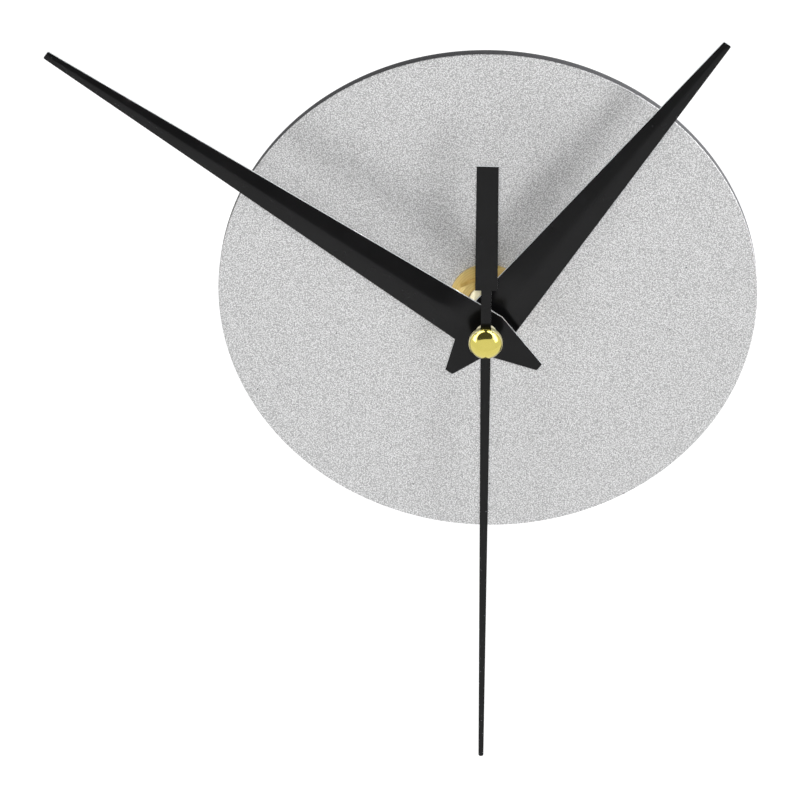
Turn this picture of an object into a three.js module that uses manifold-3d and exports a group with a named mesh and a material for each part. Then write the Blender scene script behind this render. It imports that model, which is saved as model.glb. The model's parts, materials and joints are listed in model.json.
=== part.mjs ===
// Frameless wall clock: a round silver dial clamped on the threaded bush of a quartz movement, with
// three black hands that reach past the dial's edge.
//
// Each piece is drawn in the clock's own plane: x to the right, y up, z out of the wall from the
// movement's flat back. The finished clock is then stood up, so that it faces -Y with +Z up and its
// origin is where the shaft meets the wall. Units are millimetres and degrees.

import * as THREE from "three";
import { mergeVertices } from "three/addons/utils/BufferGeometryUtils.js";
import Module from "manifold-3d";

const wasm = await Module();
wasm.setup();

// Dial and the fixings that clamp it
const DIAL_DIAMETER = 120;
const DIAL_THICKNESS = 2.6;
const DIAL_EDGE_BREAK = 0.2;
const GASKET_DIAMETER = 20;
const GASKET_THICKNESS = 1;
const WASHER_DIAMETER = 16.6;
const WASHER_THICKNESS = 1;
const NUT_ACROSS_FLATS = 12;
const NUT_THICKNESS = 2;
const NUT_SIDES = 6;
const NUT_CHAMFER = 0.5;
const NUT_CHAMFER_ANGLE = 30;
const BUSH_DIAMETER = 8.4;
const BUSH_PAST_NUT = 7.3;
const BUSH_FLANGE_DIAMETER = 12;
const BUSH_FLANGE_THICKNESS = 1;

// Concentric shafts
const HOUR_TUBE_DIAMETER = 5;
const MINUTE_PIPE_DIAMETER = 3.4;
const SECOND_ARBOR_DIAMETER = 1;

// Hands: lengths run from the shaft, angles run clockwise from twelve
const HAND_THICKNESS = 0.5;
const HAND_END_WIDTH = 1.9;
const HAND_SHOULDER_DROP = 0.5;
const HOUR_HAND_REACH = 87;
const HOUR_HAND_TAIL = 14;
const HOUR_HAND_WIDTH = 12.2;
const HOUR_HAND_ANGLE = 35.8;
const MINUTE_HAND_REACH = 116;
const MINUTE_HAND_TAIL = 14.5;
const MINUTE_HAND_WIDTH = 10.8;
const MINUTE_HAND_ANGLE = -54.8;
const SECOND_HAND_REACH = 110;
const SECOND_HAND_ANGLE = 180.1;
const NEEDLE_WIDTH = 2.24;
const NEEDLE_TIP_WIDTH = 1.15;
const COUNTERWEIGHT_START = 12.7;
const COUNTERWEIGHT_END = 43.3;
const COUNTERWEIGHT_WIDTH = 4.9;
const CAP_DIAMETER = 7.4;
const CAP_RIM = 1.25;
const CAP_RIM_STEP = 0.06;
const CAP_BAND = 0.1;
const CAP_DOME = 2.455;

// Free depth behind each hand, measured from the bush or from the hand before it
const HOUR_HAND_STAND_OFF = 3.4;
const MINUTE_HAND_STAND_OFF = 2;
const SECOND_HAND_STAND_OFF = 2.9;

// Bushes that hold the hands on their shafts
const HUB_NECK_WALL = 0.5;
const HUB_RIM_WALL = 0.7;
const HUB_SLEEVE_WALL = 1.1;
const HUB_RIM_HEIGHT = 0.3;
const HUB_GAP = 0.3;
const SECOND_TUBE_NECK_WALL = 0.35;
const SECOND_TUBE_SLEEVE_WALL = 0.6;
const CAP_SOCKET_DEPTH = 1;

// Movement case and its cell
const CASE_WALL = 1.2;
const CASE_CORNER = 3;
const CASE_ABOVE_SHAFT = 28;
const DIVIDER_THICKNESS = 1;
const COVER_THICKNESS = 1.5;
const BATTERY_DIAMETER = 14.2;
const BATTERY_LENGTH = 50.2;
const BATTERY_NUB_DIAMETER = 5.2;
const BATTERY_NUB_LENGTH = 1.2;
const BATTERY_SIDE_GAP = 0.4;
const BATTERY_FLOOR_GAP = 0.2;
const BATTERY_SET_IN = 0.4;
const NEGATIVE_CONTACT_SPACE = 2.4;
const POSITIVE_CONTACT_SPACE = 0.8;
const HANGER_WIDTH = 22;
const HANGER_HEIGHT = 10;
const HANGER_BAR = 2.6;
const HANGER_THICKNESS = 2.5;
const HANGER_CORNER = 5;
const NAIL_NOTCH_DIAMETER = 2.6;

// Wheel train: teeth, centre distances, and angles counted from three o'clock towards twelve
const ROTOR_PINION_TEETH = 6;
const FIFTH_WHEEL_TEETH = 36;
const FIFTH_PINION_TEETH = 8;
const SECOND_WHEEL_TEETH = 40;
const SECOND_PINION_TEETH = 6;
const THIRD_WHEEL_TEETH = 45;
const THIRD_PINION_TEETH = 6;
const CENTRE_WHEEL_TEETH = 48;
const MINUTE_PINION_TEETH = 10;
const TRANSFER_WHEEL_TEETH = 30;
const TRANSFER_PINION_TEETH = 10;
const HOUR_WHEEL_TEETH = 40;
const KNOB_PINION_TEETH = 10;
const ROTOR_SPACING = 7.6;
const FIFTH_SPACING = 9;
const THIRD_SPACING = 11;
const TRANSFER_SPACING = 11;
const ROTOR_ANGLE = 165;
const FIFTH_ANGLE = 172;
const THIRD_ANGLE = 75;
const TRANSFER_ANGLE = 20;
const KNOB_ANGLE = 60;
const WHEEL_THICKNESS = 0.9;
const PINION_OVERHANG = 0.1;
const CLUTCH_THICKNESS = 0.5;
const CLUTCH_DIAMETER = 7;
const PIPE_COLLAR_THICKNESS = 0.5;
const PIPE_COLLAR_WALL = 0.8;
const HUB_RADIUS = 1;
const PIVOT_DIAMETER = 0.8;
const PIVOT_LENGTH = 1;
const MIDDLE_PLATE_THICKNESS = 0.8;

// Tooth form: heights as shares of the module, width at the root as a share of the pitch
const TOOTH_TIP_SHARE = 0.8;
const TOOTH_DEPTH_SHARE = 1.15;
const TOOTH_ROOT_SHARE = 0.8;

// Setting knob
const KNOB_DIAMETER = 13;
const KNOB_THICKNESS = 2.2;
const KNOB_SET_IN = 0.4;
const KNOB_RIBS = 20;
const KNOB_RIB_DEPTH = 0.35;
const KNOB_STEM_DIAMETER = 2.4;
const KNOB_CUP_GAP = 0.5;
const KNOB_CUP_WALL = 1;

// Stepping motor and circuit
const MAGNET_DIAMETER = 6;
const MAGNET_THICKNESS = 1.6;
const ROTOR_ARBOR_DIAMETER = 1.4;
const STATOR_THICKNESS = 1.2;
const STATOR_AIR_GAP = 0.4;
const STATOR_RIM = 1.5;
const STATOR_ARM_WIDTH = 3.6;
const STATOR_LEFT_REACH = 7.2;
const COIL_RISE = 17;
const COIL_LENGTH = 11.5;
const COIL_DIAMETER = 4.8;
const BOBBIN_FLANGE_DIAMETER = 5.2;
const BOBBIN_FLANGE_THICKNESS = 0.7;
const BOBBIN_WALL = 0.5;
const CORE_THICKNESS = 1.2;
const CORE_WIDTH = 1.6;
const CORE_END = 2.6;
const BOARD_WIDTH = 13.5;
const BOARD_HEIGHT = 13.5;
const BOARD_THICKNESS = 1;
const STANDOFF_HEIGHT = 0.85;
const STANDOFF_DIAMETER = 1.6;
const CHIP_DIAMETER = 6;
const CHIP_HEIGHT = 1.2;
const CRYSTAL_DIAMETER = 2;
const CRYSTAL_LENGTH = 6;
const CONTACT_THICKNESS = 0.4;
const CONTACT_HEIGHT = 12;
const CONTACT_FRONT = 10;
const CONTACT_TAB = 2;
const CONTACT_RAIL = 2;

// Bosses, pillars and posts moulded on the case and its cover
const BOSS_DIAMETER = 2.8;
const BOSS_HEIGHT = 0.5;
const PILLAR_DIAMETER = 2.8;
const POST_DIAMETER = 3;
const TRANSFER_POST_DIAMETER = 1.6;
const POST_INSET = 1.6;

// Clearances
const SEAT_GAP = 0.05;
const PRESS_GAP = 0.05;
const RUN_GAP = 0.12;
const LEVEL_GAP = 0.3;
const PART_GAP = 0.6;

// Drawing aids: how far cutters pass a face and how far moulded bosses root in their wall
const OVERCUT = 1;
const ROOT = 0.6;
const FINE = 96;
const ROUND = 24;
const SMALL = 12;

// Places of the arbors in the clock's plane
function polar(from, distance, degrees) {
  const angle = THREE.MathUtils.degToRad(degrees);
  return { x: from.x + distance * Math.cos(angle), y: from.y + distance * Math.sin(angle) };
}

function gear(teeth, module) {
  const pitchRadius = (teeth * module) / 2;
  return {
    teeth,
    tip: pitchRadius + TOOTH_TIP_SHARE * module,
    root: pitchRadius - TOOTH_DEPTH_SHARE * module,
  };
}

function moduleFor(distance, teeth, otherTeeth) {
  return (2 * distance) / (teeth + otherTeeth);
}

const rotorModule = moduleFor(ROTOR_SPACING, ROTOR_PINION_TEETH, FIFTH_WHEEL_TEETH);
const fifthModule = moduleFor(FIFTH_SPACING, FIFTH_PINION_TEETH, SECOND_WHEEL_TEETH);
const secondModule = moduleFor(THIRD_SPACING, SECOND_PINION_TEETH, THIRD_WHEEL_TEETH);
const thirdModule = moduleFor(THIRD_SPACING, THIRD_PINION_TEETH, CENTRE_WHEEL_TEETH);
const minuteModule = moduleFor(TRANSFER_SPACING, MINUTE_PINION_TEETH, TRANSFER_WHEEL_TEETH);
const hourModule = moduleFor(TRANSFER_SPACING, TRANSFER_PINION_TEETH, HOUR_WHEEL_TEETH);

const rotorPinion = gear(ROTOR_PINION_TEETH, rotorModule);
const fifthWheel = gear(FIFTH_WHEEL_TEETH, rotorModule);
const fifthPinion = gear(FIFTH_PINION_TEETH, fifthModule);
const secondWheel = gear(SECOND_WHEEL_TEETH, fifthModule);
const secondPinion = gear(SECOND_PINION_TEETH, secondModule);
const thirdWheel = gear(THIRD_WHEEL_TEETH, secondModule);
const thirdPinion = gear(THIRD_PINION_TEETH, thirdModule);
const centreWheel = gear(CENTRE_WHEEL_TEETH, thirdModule);
const minutePinion = gear(MINUTE_PINION_TEETH, minuteModule);
const transferWheel = gear(TRANSFER_WHEEL_TEETH, minuteModule);
const transferPinion = gear(TRANSFER_PINION_TEETH, hourModule);
const hourWheel = gear(HOUR_WHEEL_TEETH, hourModule);
const knobPinion = gear(KNOB_PINION_TEETH, minuteModule);

const SHAFT = { x: 0, y: 0 };
const FIFTH = polar(SHAFT, FIFTH_SPACING, FIFTH_ANGLE);
const ROTOR = polar(FIFTH, ROTOR_SPACING, ROTOR_ANGLE);
const THIRD = polar(SHAFT, THIRD_SPACING, THIRD_ANGLE);
const TRANSFER = polar(SHAFT, TRANSFER_SPACING, TRANSFER_ANGLE);
const knobDistance = (minuteModule * (TRANSFER_WHEEL_TEETH + KNOB_PINION_TEETH)) / 2;
const KNOB = polar(TRANSFER, knobDistance, KNOB_ANGLE);

// Outline of the case: the cell sets its width, the wheels and the cell set its lower half
const bayLength = NEGATIVE_CONTACT_SPACE + BATTERY_LENGTH + POSITIVE_CONTACT_SPACE;
const bayHeight = BATTERY_DIAMETER + 2 * BATTERY_SIDE_GAP;
const chamberRight = bayLength / 2;
const chamberLeft = -chamberRight;
const chamberTop = CASE_ABOVE_SHAFT - CASE_WALL;
const chamberFloor = -(Math.max(centreWheel.tip, thirdWheel.tip) + PART_GAP);
const bayTop = chamberFloor - DIVIDER_THICKNESS;
const bayFloor = bayTop - bayHeight;
const batteryY = bayTop - bayHeight / 2;

// Depths from the wall: case and fixings
const caseDepth = BATTERY_SET_IN + BATTERY_DIAMETER + BATTERY_FLOOR_GAP + CASE_WALL;
const chamberFront = caseDepth - CASE_WALL;
const batteryZ = BATTERY_SET_IN + BATTERY_DIAMETER / 2;
const gasketBack = caseDepth + SEAT_GAP;
const gasketFront = gasketBack + GASKET_THICKNESS;
const dialBack = gasketFront + SEAT_GAP;
const dialFront = dialBack + DIAL_THICKNESS;
const washerBack = dialFront + SEAT_GAP;
const washerFront = washerBack + WASHER_THICKNESS;
const nutBack = washerFront + SEAT_GAP;
const nutFront = nutBack + NUT_THICKNESS;
const bushFront = nutFront + BUSH_PAST_NUT;

// Depths from the wall: hands
const rimReach = SEAT_GAP + HUB_RIM_HEIGHT;
const hourHandBack = bushFront + HOUR_HAND_STAND_OFF;
const hourHandFront = hourHandBack + HAND_THICKNESS;
const minuteHandBack = hourHandFront + MINUTE_HAND_STAND_OFF;
const minuteHandFront = minuteHandBack + HAND_THICKNESS;
const secondHandBack = minuteHandFront + SECOND_HAND_STAND_OFF;
const secondHandFront = secondHandBack + HAND_THICKNESS;
const hourTubeFront = hourHandFront + rimReach;
const minutePipeFront = minuteHandFront + rimReach;
const capBack = secondHandFront + SEAT_GAP;
const secondTubeFront = capBack + CAP_SOCKET_DEPTH - SEAT_GAP;

// Depths from the wall: wheels, from the front of the case back to its cover
const flangeFront = chamberFront - SEAT_GAP;
const flangeBack = flangeFront - BUSH_FLANGE_THICKNESS;
const hourWheelFront = flangeBack - LEVEL_GAP;
const hourWheelBack = hourWheelFront - WHEEL_THICKNESS;
const transferFront = hourWheelBack - LEVEL_GAP;
const transferBack = transferFront - WHEEL_THICKNESS;
const clutchFront = transferBack - PINION_OVERHANG - SEAT_GAP;
const clutchBack = clutchFront - CLUTCH_THICKNESS;
const centreFront = clutchBack - SEAT_GAP;
const centreBack = centreFront - WHEEL_THICKNESS;
const collarFront = centreBack - SEAT_GAP;
const collarBack = collarFront - PIPE_COLLAR_THICKNESS;
const thirdFront = collarBack - LEVEL_GAP;
const thirdBack = thirdFront - WHEEL_THICKNESS;
const plateFront = thirdBack - LEVEL_GAP;
const plateBack = plateFront - MIDDLE_PLATE_THICKNESS;
const secondFront = plateBack - LEVEL_GAP;
const secondBack = secondFront - WHEEL_THICKNESS;
const fifthFront = secondBack - LEVEL_GAP;
const fifthBack = fifthFront - WHEEL_THICKNESS;
const bossFront = COVER_THICKNESS + BOSS_HEIGHT;
const rearPivotEnd = bossFront - PIVOT_LENGTH;
const boardBack = COVER_THICKNESS + STANDOFF_HEIGHT + SEAT_GAP;
const boardFront = boardBack + BOARD_THICKNESS;
const statorBack = boardBack;
const statorFront = statorBack + STATOR_THICKNESS;
const coreBack = statorFront + SEAT_GAP;
const coreMiddle = coreBack + CORE_THICKNESS / 2;
const magnetBack = statorBack + (STATOR_THICKNESS - MAGNET_THICKNESS) / 2;
const magnetFront = magnetBack + MAGNET_THICKNESS;
const contactBack = boardFront + SEAT_GAP;
const knobFront = KNOB_SET_IN + KNOB_THICKNESS;
const cupFloorBack = knobFront + LEVEL_GAP;

// Places of the plates, board and coil in the clock's plane
const statorHole = MAGNET_DIAMETER / 2 + STATOR_AIR_GAP;
const statorHalf = statorHole + STATOR_RIM;
const statorLeft = ROTOR.x - STATOR_LEFT_REACH;
const statorRight = ROTOR.x + statorHalf;
const coilY = ROTOR.y + COIL_RISE;
const coilLeft = statorLeft + CORE_END + SEAT_GAP;
const coilRight = coilLeft + COIL_LENGTH;
const coreLeft = coilLeft - CORE_END;
const coreRight = coilRight + CORE_END;
const notchRight = coreRight + PART_GAP;
const notchFloor = coilY - BOBBIN_FLANGE_DIAMETER / 2 - PART_GAP;
const plateLeft = ROTOR.x - STANDOFF_DIAMETER - PART_GAP;
const plateRight = KNOB.x - KNOB_STEM_DIAMETER / 2 - PART_GAP;
const plateFloor = chamberFloor + PART_GAP;
const plateTop = THIRD.y + thirdWheel.tip + PART_GAP;
const pillarInset = PILLAR_DIAMETER / 2 + PRESS_GAP;
const boardRight = chamberRight - POST_INSET - POST_DIAMETER / 2 - PART_GAP;
const boardLeft = boardRight - BOARD_WIDTH;
const boardFloor = chamberFloor + 2 * PART_GAP;
const boardTop = boardFloor + BOARD_HEIGHT;
const tabFloor = boardFloor + PART_GAP;
const tabTop = tabFloor + CONTACT_TAB;
const lowerPostY = tabTop + PART_GAP + POST_DIAMETER / 2;

const rearPivots = [SHAFT, FIFTH, ROTOR];
const pillars = [
  { x: plateLeft + pillarInset, y: plateFloor + pillarInset },
  { x: plateLeft + pillarInset, y: notchFloor - pillarInset },
  { x: plateRight - pillarInset, y: plateFloor + pillarInset },
  { x: plateRight - pillarInset, y: plateTop - pillarInset },
];
const coverPosts = [chamberLeft + POST_INSET, chamberRight - POST_INSET].flatMap((x) => [
  { x, y: lowerPostY },
  { x, y: chamberTop - POST_INSET },
]);
const boardStandoffs = [boardLeft + POST_INSET, boardRight - POST_INSET].flatMap((x) => [
  { x, y: boardFloor + POST_INSET },
  { x, y: boardTop - POST_INSET },
]);
const statorStandoffs = [
  { x: statorRight - STANDOFF_DIAMETER / 2, y: ROTOR.y - statorHalf + STANDOFF_DIAMETER / 2 },
  { x: statorRight - STANDOFF_DIAMETER / 2, y: ROTOR.y + statorHalf - STANDOFF_DIAMETER / 2 },
  { x: statorLeft + STATOR_ARM_WIDTH / 2, y: ROTOR.y },
];

// Shapes to solids and back
function solidOf(geometry) {
  const bare = geometry.index ? geometry.toNonIndexed() : geometry.clone();
  bare.deleteAttribute("normal");
  bare.deleteAttribute("uv");
  const merged = mergeVertices(bare, 1e-4);
  const vertProperties = merged.attributes.position.array;
  const triVerts = new Uint32Array(merged.index.array);
  return new wasm.Manifold(new wasm.Mesh({ numProp: 3, vertProperties, triVerts }));
}

function geometryOf(solid) {
  const { vertProperties, triVerts } = solid.getMesh();
  const geometry = new THREE.BufferGeometry();
  geometry.setAttribute("position", new THREE.BufferAttribute(vertProperties, 3));
  geometry.setIndex(new THREE.BufferAttribute(triVerts, 1));
  const flat = geometry.toNonIndexed();
  flat.computeVertexNormals();
  return flat;
}

function join(first, ...others) {
  return geometryOf(others.reduce((sum, next) => sum.add(solidOf(next)), solidOf(first)));
}

function cut(first, ...tools) {
  return geometryOf(tools.reduce((rest, tool) => rest.subtract(solidOf(tool)), solidOf(first)));
}

function common(first, second) {
  return geometryOf(solidOf(first).intersect(solidOf(second)));
}

// Basic bodies along z
function turned(profile, segments = ROUND) {
  const points = profile.map(([radius, z]) => new THREE.Vector2(radius, z));
  return new THREE.LatheGeometry(points, segments).rotateX(Math.PI / 2);
}

function ring(outer, inner, back, front, segments = ROUND) {
  const profile = [[inner, back], [outer, back], [outer, front], [inner, front], [inner, back]];
  return turned(profile, segments);
}

function rod(radius, back, front, at = SHAFT, segments = SMALL) {
  const profile = [[0, back], [radius, back], [radius, front], [0, front]];
  return turned(profile, segments).translate(at.x, at.y, 0);
}

function extruded(shape, back, front, curveSegments = 3) {
  const options = { depth: front - back, bevelEnabled: false, curveSegments };
  return new THREE.ExtrudeGeometry(shape, options).translate(0, 0, back);
}

function block(left, floor, back, right, top, front) {
  const box = new THREE.BoxGeometry(right - left, top - floor, front - back);
  return box.translate((left + right) / 2, (floor + top) / 2, (back + front) / 2);
}

// Outlines
function polygon(points) {
  return new THREE.Shape(points.map(([x, y]) => new THREE.Vector2(x, y)));
}

function roundedRectangle(left, floor, right, top, corner) {
  const shape = new THREE.Shape();
  shape.absarc(right - corner, top - corner, corner, 0, Math.PI / 2);
  shape.absarc(left + corner, top - corner, corner, Math.PI / 2, Math.PI);
  shape.absarc(left + corner, floor + corner, corner, Math.PI, 1.5 * Math.PI);
  shape.absarc(right - corner, floor + corner, corner, 1.5 * Math.PI, 2 * Math.PI);
  shape.closePath();
  return shape;
}

function addHole(shape, radius, at = SHAFT) {
  const hole = new THREE.Path();
  hole.absarc(at.x, at.y, radius, 0, 2 * Math.PI, true);
  shape.holes.push(hole);
  return shape;
}

function toothedOutline({ teeth, tip, root }) {
  const pitch = (2 * Math.PI) / teeth;
  const corners = [
    [root, -TOOTH_ROOT_SHARE / 2],
    [tip, 0],
    [root, TOOTH_ROOT_SHARE / 2],
  ];
  const points = [];
  for (let tooth = 0; tooth < teeth; tooth += 1) {
    for (const [radius, share] of corners) {
      const angle = (tooth + share) * pitch;
      points.push([radius * Math.cos(angle), radius * Math.sin(angle)]);
    }
  }
  return polygon(points);
}

function toothedDisc(size, back, front, bore = 0) {
  const outline = toothedOutline(size);
  if (bore > 0) addHole(outline, bore);
  return extruded(outline, back, front, ROUND / 2);
}

// Turn of a wheel whose teeth fall between the teeth of the wheel that it meshes with
function meshedTurn(otherTurn, other, size, degrees) {
  const direction = THREE.MathUtils.degToRad(degrees);
  const otherPitch = (2 * Math.PI) / other.teeth;
  const pitch = (2 * Math.PI) / size.teeth;
  const share = (direction - otherTurn) / otherPitch;
  return direction + Math.PI - pitch * (0.5 - share);
}

// Dial and fixings
function dialPlate() {
  const radius = DIAL_DIAMETER / 2;
  const bore = BUSH_DIAMETER / 2 + PRESS_GAP;
  const profile = [
    [bore, dialBack],
    [radius, dialBack],
    [radius, dialFront - DIAL_EDGE_BREAK],
    [radius - DIAL_EDGE_BREAK, dialFront],
    [bore, dialFront],
    [bore, dialBack],
  ];
  return turned(profile, FINE);
}

function rubberGasket() {
  return ring(GASKET_DIAMETER / 2, BUSH_DIAMETER / 2 + PRESS_GAP, gasketBack, gasketFront);
}

function brassWasher() {
  const bore = BUSH_DIAMETER / 2 + PRESS_GAP;
  return ring(WASHER_DIAMETER / 2, bore, washerBack, washerFront, 2 * ROUND);
}

function hexNut() {
  const turnPerSide = (2 * Math.PI) / NUT_SIDES;
  const corner = NUT_ACROSS_FLATS / 2 / Math.cos(turnPerSide / 2);
  const points = Array.from({ length: NUT_SIDES }, (_, side) => {
    const angle = Math.PI / 2 + side * turnPerSide;
    return [corner * Math.cos(angle), corner * Math.sin(angle)];
  });
  const outline = addHole(polygon(points), BUSH_DIAMETER / 2 + PRESS_GAP);
  const hexagon = extruded(outline, nutBack, nutFront, ROUND / 2);
  const slope = Math.tan(THREE.MathUtils.degToRad(NUT_CHAMFER_ANGLE));
  const chamferCone = turned([
    [0, nutBack - OVERCUT],
    [corner + OVERCUT, nutBack - OVERCUT],
    [corner + OVERCUT, nutFront - NUT_CHAMFER - OVERCUT * slope],
    [corner - NUT_CHAMFER / slope, nutFront],
    [0, nutFront],
  ]);
  return common(hexagon, chamferCone);
}

function threadedBush() {
  const bore = HOUR_TUBE_DIAMETER / 2 + RUN_GAP;
  const radius = BUSH_DIAMETER / 2;
  return turned([
    [bore, flangeBack],
    [BUSH_FLANGE_DIAMETER / 2, flangeBack],
    [BUSH_FLANGE_DIAMETER / 2, flangeFront],
    [radius, flangeFront],
    [radius, bushFront],
    [bore, bushFront],
    [bore, flangeBack],
  ]);
}

// Case, cover and plate of the movement
function pivotHole(at, back, front) {
  return rod(PIVOT_DIAMETER / 2 + RUN_GAP, back, front, at);
}

function hangingLoop() {
  const half = HANGER_WIDTH / 2;
  const top = CASE_ABOVE_SHAFT + HANGER_HEIGHT;
  const eyeTop = top - HANGER_BAR;
  const eyeHalf = half - HANGER_BAR;
  const outline = roundedRectangle(-half, chamberTop, half, top, HANGER_CORNER);
  const eyeCorner = HANGER_CORNER - HANGER_BAR;
  const eye = roundedRectangle(-eyeHalf, CASE_ABOVE_SHAFT, eyeHalf, eyeTop, eyeCorner);
  const notch = { x: 0, y: eyeTop };
  return cut(
    extruded(outline, 0, HANGER_THICKNESS),
    extruded(eye, -OVERCUT, HANGER_THICKNESS + OVERCUT),
    rod(NAIL_NOTCH_DIAMETER / 2, -OVERCUT, HANGER_THICKNESS + OVERCUT, notch),
  );
}

function movementCase() {
  const outline = roundedRectangle(
    chamberLeft - CASE_WALL,
    bayFloor - CASE_WALL,
    chamberRight + CASE_WALL,
    CASE_ABOVE_SHAFT,
    CASE_CORNER,
  );
  const innerCorner = CASE_CORNER - CASE_WALL;
  const chamber = roundedRectangle(chamberLeft, chamberFloor, chamberRight, chamberTop, innerCorner);
  const bay = roundedRectangle(chamberLeft, bayFloor, chamberRight, bayTop, innerCorner);
  const slotWidth = 2 * LEVEL_GAP + CONTACT_THICKNESS;
  const slotFront = CONTACT_FRONT + LEVEL_GAP;
  const slotFloor = bayTop - OVERCUT;
  const slotTop = chamberFloor + OVERCUT;
  const thirdBoss = centreFront + PINION_OVERHANG + LEVEL_GAP;
  const knobBoss = transferFront + PINION_OVERHANG + LEVEL_GAP;
  const shell = cut(
    extruded(outline, 0, caseDepth),
    extruded(chamber, -OVERCUT, chamberFront),
    extruded(bay, -OVERCUT, chamberFront),
    rod(BUSH_DIAMETER / 2 + PRESS_GAP, chamberFront - OVERCUT, caseDepth + OVERCUT, SHAFT, ROUND),
    block(chamberLeft, slotFloor, -OVERCUT, chamberLeft + slotWidth, slotTop, slotFront),
    block(chamberRight - slotWidth, slotFloor, -OVERCUT, chamberRight, slotTop, slotFront),
  );
  const moulded = join(
    shell,
    ...pillars.map((at) => rod(PILLAR_DIAMETER / 2, plateFront + SEAT_GAP, chamberFront + ROOT, at)),
    ...coverPosts.map((at) => rod(POST_DIAMETER / 2, COVER_THICKNESS + SEAT_GAP, chamberFront + ROOT, at)),
    rod(TRANSFER_POST_DIAMETER / 2, transferBack - LEVEL_GAP, chamberFront + ROOT, TRANSFER),
    rod(BOSS_DIAMETER / 2, thirdBoss, chamberFront + ROOT, THIRD),
    rod(BOSS_DIAMETER / 2, knobBoss, chamberFront + ROOT, KNOB),
    hangingLoop(),
  );
  return cut(
    moulded,
    pivotHole(THIRD, thirdBoss - OVERCUT, thirdBoss + PIVOT_LENGTH + LEVEL_GAP),
    pivotHole(KNOB, knobBoss - OVERCUT, knobBoss + PIVOT_LENGTH + LEVEL_GAP),
  );
}

function rearCover() {
  const gap = RUN_GAP;
  const outline = roundedRectangle(
    chamberLeft + gap,
    chamberFloor + gap,
    chamberRight - gap,
    chamberTop - gap,
    CASE_CORNER - CASE_WALL,
  );
  const cupInner = KNOB_DIAMETER / 2 + KNOB_CUP_GAP;
  const cupFront = cupFloorBack + KNOB_CUP_WALL;
  const standoffFront = COVER_THICKNESS + STANDOFF_HEIGHT;
  const standoffs = [...boardStandoffs, ...statorStandoffs];
  const moulded = join(
    extruded(outline, 0, COVER_THICKNESS),
    rod(cupInner + KNOB_CUP_WALL, 0, cupFront, KNOB, ROUND),
    ...rearPivots.map((at) => rod(BOSS_DIAMETER / 2, COVER_THICKNESS - ROOT, bossFront, at)),
    ...standoffs.map((at) => rod(STANDOFF_DIAMETER / 2, COVER_THICKNESS - ROOT, standoffFront, at)),
  );
  return cut(
    moulded,
    rod(cupInner, -OVERCUT, cupFloorBack, KNOB, ROUND),
    rod(KNOB_STEM_DIAMETER / 2 + RUN_GAP, -OVERCUT, cupFront + OVERCUT, KNOB),
    ...rearPivots.map((at) => pivotHole(at, rearPivotEnd - LEVEL_GAP, bossFront + OVERCUT)),
  );
}

function middlePlate() {
  const outline = polygon([
    [plateLeft, plateFloor],
    [plateRight, plateFloor],
    [plateRight, plateTop],
    [notchRight, plateTop],
    [notchRight, notchFloor],
    [plateLeft, notchFloor],
  ]);
  addHole(outline, HUB_RADIUS + PART_GAP);
  for (const at of [THIRD, FIFTH, ROTOR]) {
    addHole(outline, PIVOT_DIAMETER / 2 + RUN_GAP, at);
  }
  return extruded(outline, plateBack, plateFront, SMALL / 2);
}

// Wheels, each drawn on its own arbor
function hourTube() {
  const bore = MINUTE_PIPE_DIAMETER / 2 + RUN_GAP;
  return ring(HOUR_TUBE_DIAMETER / 2, bore, hourWheelBack, hourTubeFront);
}

function hourWheelDisc() {
  return toothedDisc(hourWheel, hourWheelBack, hourWheelFront, HOUR_TUBE_DIAMETER / 2 + PRESS_GAP);
}

function minutePipe() {
  const bore = SECOND_ARBOR_DIAMETER / 2 + RUN_GAP;
  const radius = MINUTE_PIPE_DIAMETER / 2;
  const pipe = ring(radius, bore, collarBack, minutePipeFront);
  const collar = ring(radius + PIPE_COLLAR_WALL, bore, collarBack, collarFront);
  const pinionFront = transferFront + PINION_OVERHANG;
  const pinion = toothedDisc(minutePinion, transferBack - PINION_OVERHANG, pinionFront, bore);
  return join(pipe, collar, pinion);
}

function clutchSpring() {
  const bore = MINUTE_PIPE_DIAMETER / 2 + PRESS_GAP;
  return ring(CLUTCH_DIAMETER / 2, bore, clutchBack, clutchFront);
}

function centreWheelDisc() {
  return toothedDisc(centreWheel, centreBack, centreFront, MINUTE_PIPE_DIAMETER / 2 + RUN_GAP);
}

function secondArbor() {
  return rod(SECOND_ARBOR_DIAMETER / 2, rearPivotEnd, secondTubeFront);
}

function secondWheelAndPinion() {
  const bore = SECOND_ARBOR_DIAMETER / 2 + PRESS_GAP;
  const pinionBack = thirdBack - PINION_OVERHANG;
  return join(
    toothedDisc(secondWheel, secondBack, secondFront, bore),
    ring(HUB_RADIUS, bore, secondBack, pinionBack + PINION_OVERHANG / 2),
    toothedDisc(secondPinion, pinionBack, thirdFront + PINION_OVERHANG, bore),
  );
}

function thirdWheelAndPinion() {
  const pivot = PIVOT_DIAMETER / 2;
  const pinionFront = centreFront + PINION_OVERHANG;
  return join(
    rod(pivot, plateBack + LEVEL_GAP, pinionFront + LEVEL_GAP + PIVOT_LENGTH),
    rod(HUB_RADIUS, thirdBack, centreBack - PINION_OVERHANG / 2),
    toothedDisc(thirdWheel, thirdBack, thirdFront),
    toothedDisc(thirdPinion, centreBack - PINION_OVERHANG, pinionFront),
  );
}

function fifthWheelAndPinion() {
  const pinionFront = secondFront + PINION_OVERHANG;
  return join(
    rod(PIVOT_DIAMETER / 2, rearPivotEnd, plateFront - SEAT_GAP),
    rod(HUB_RADIUS, fifthBack, secondBack - PINION_OVERHANG / 2),
    toothedDisc(fifthWheel, fifthBack, fifthFront),
    toothedDisc(fifthPinion, secondBack - PINION_OVERHANG, pinionFront),
  );
}

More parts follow.
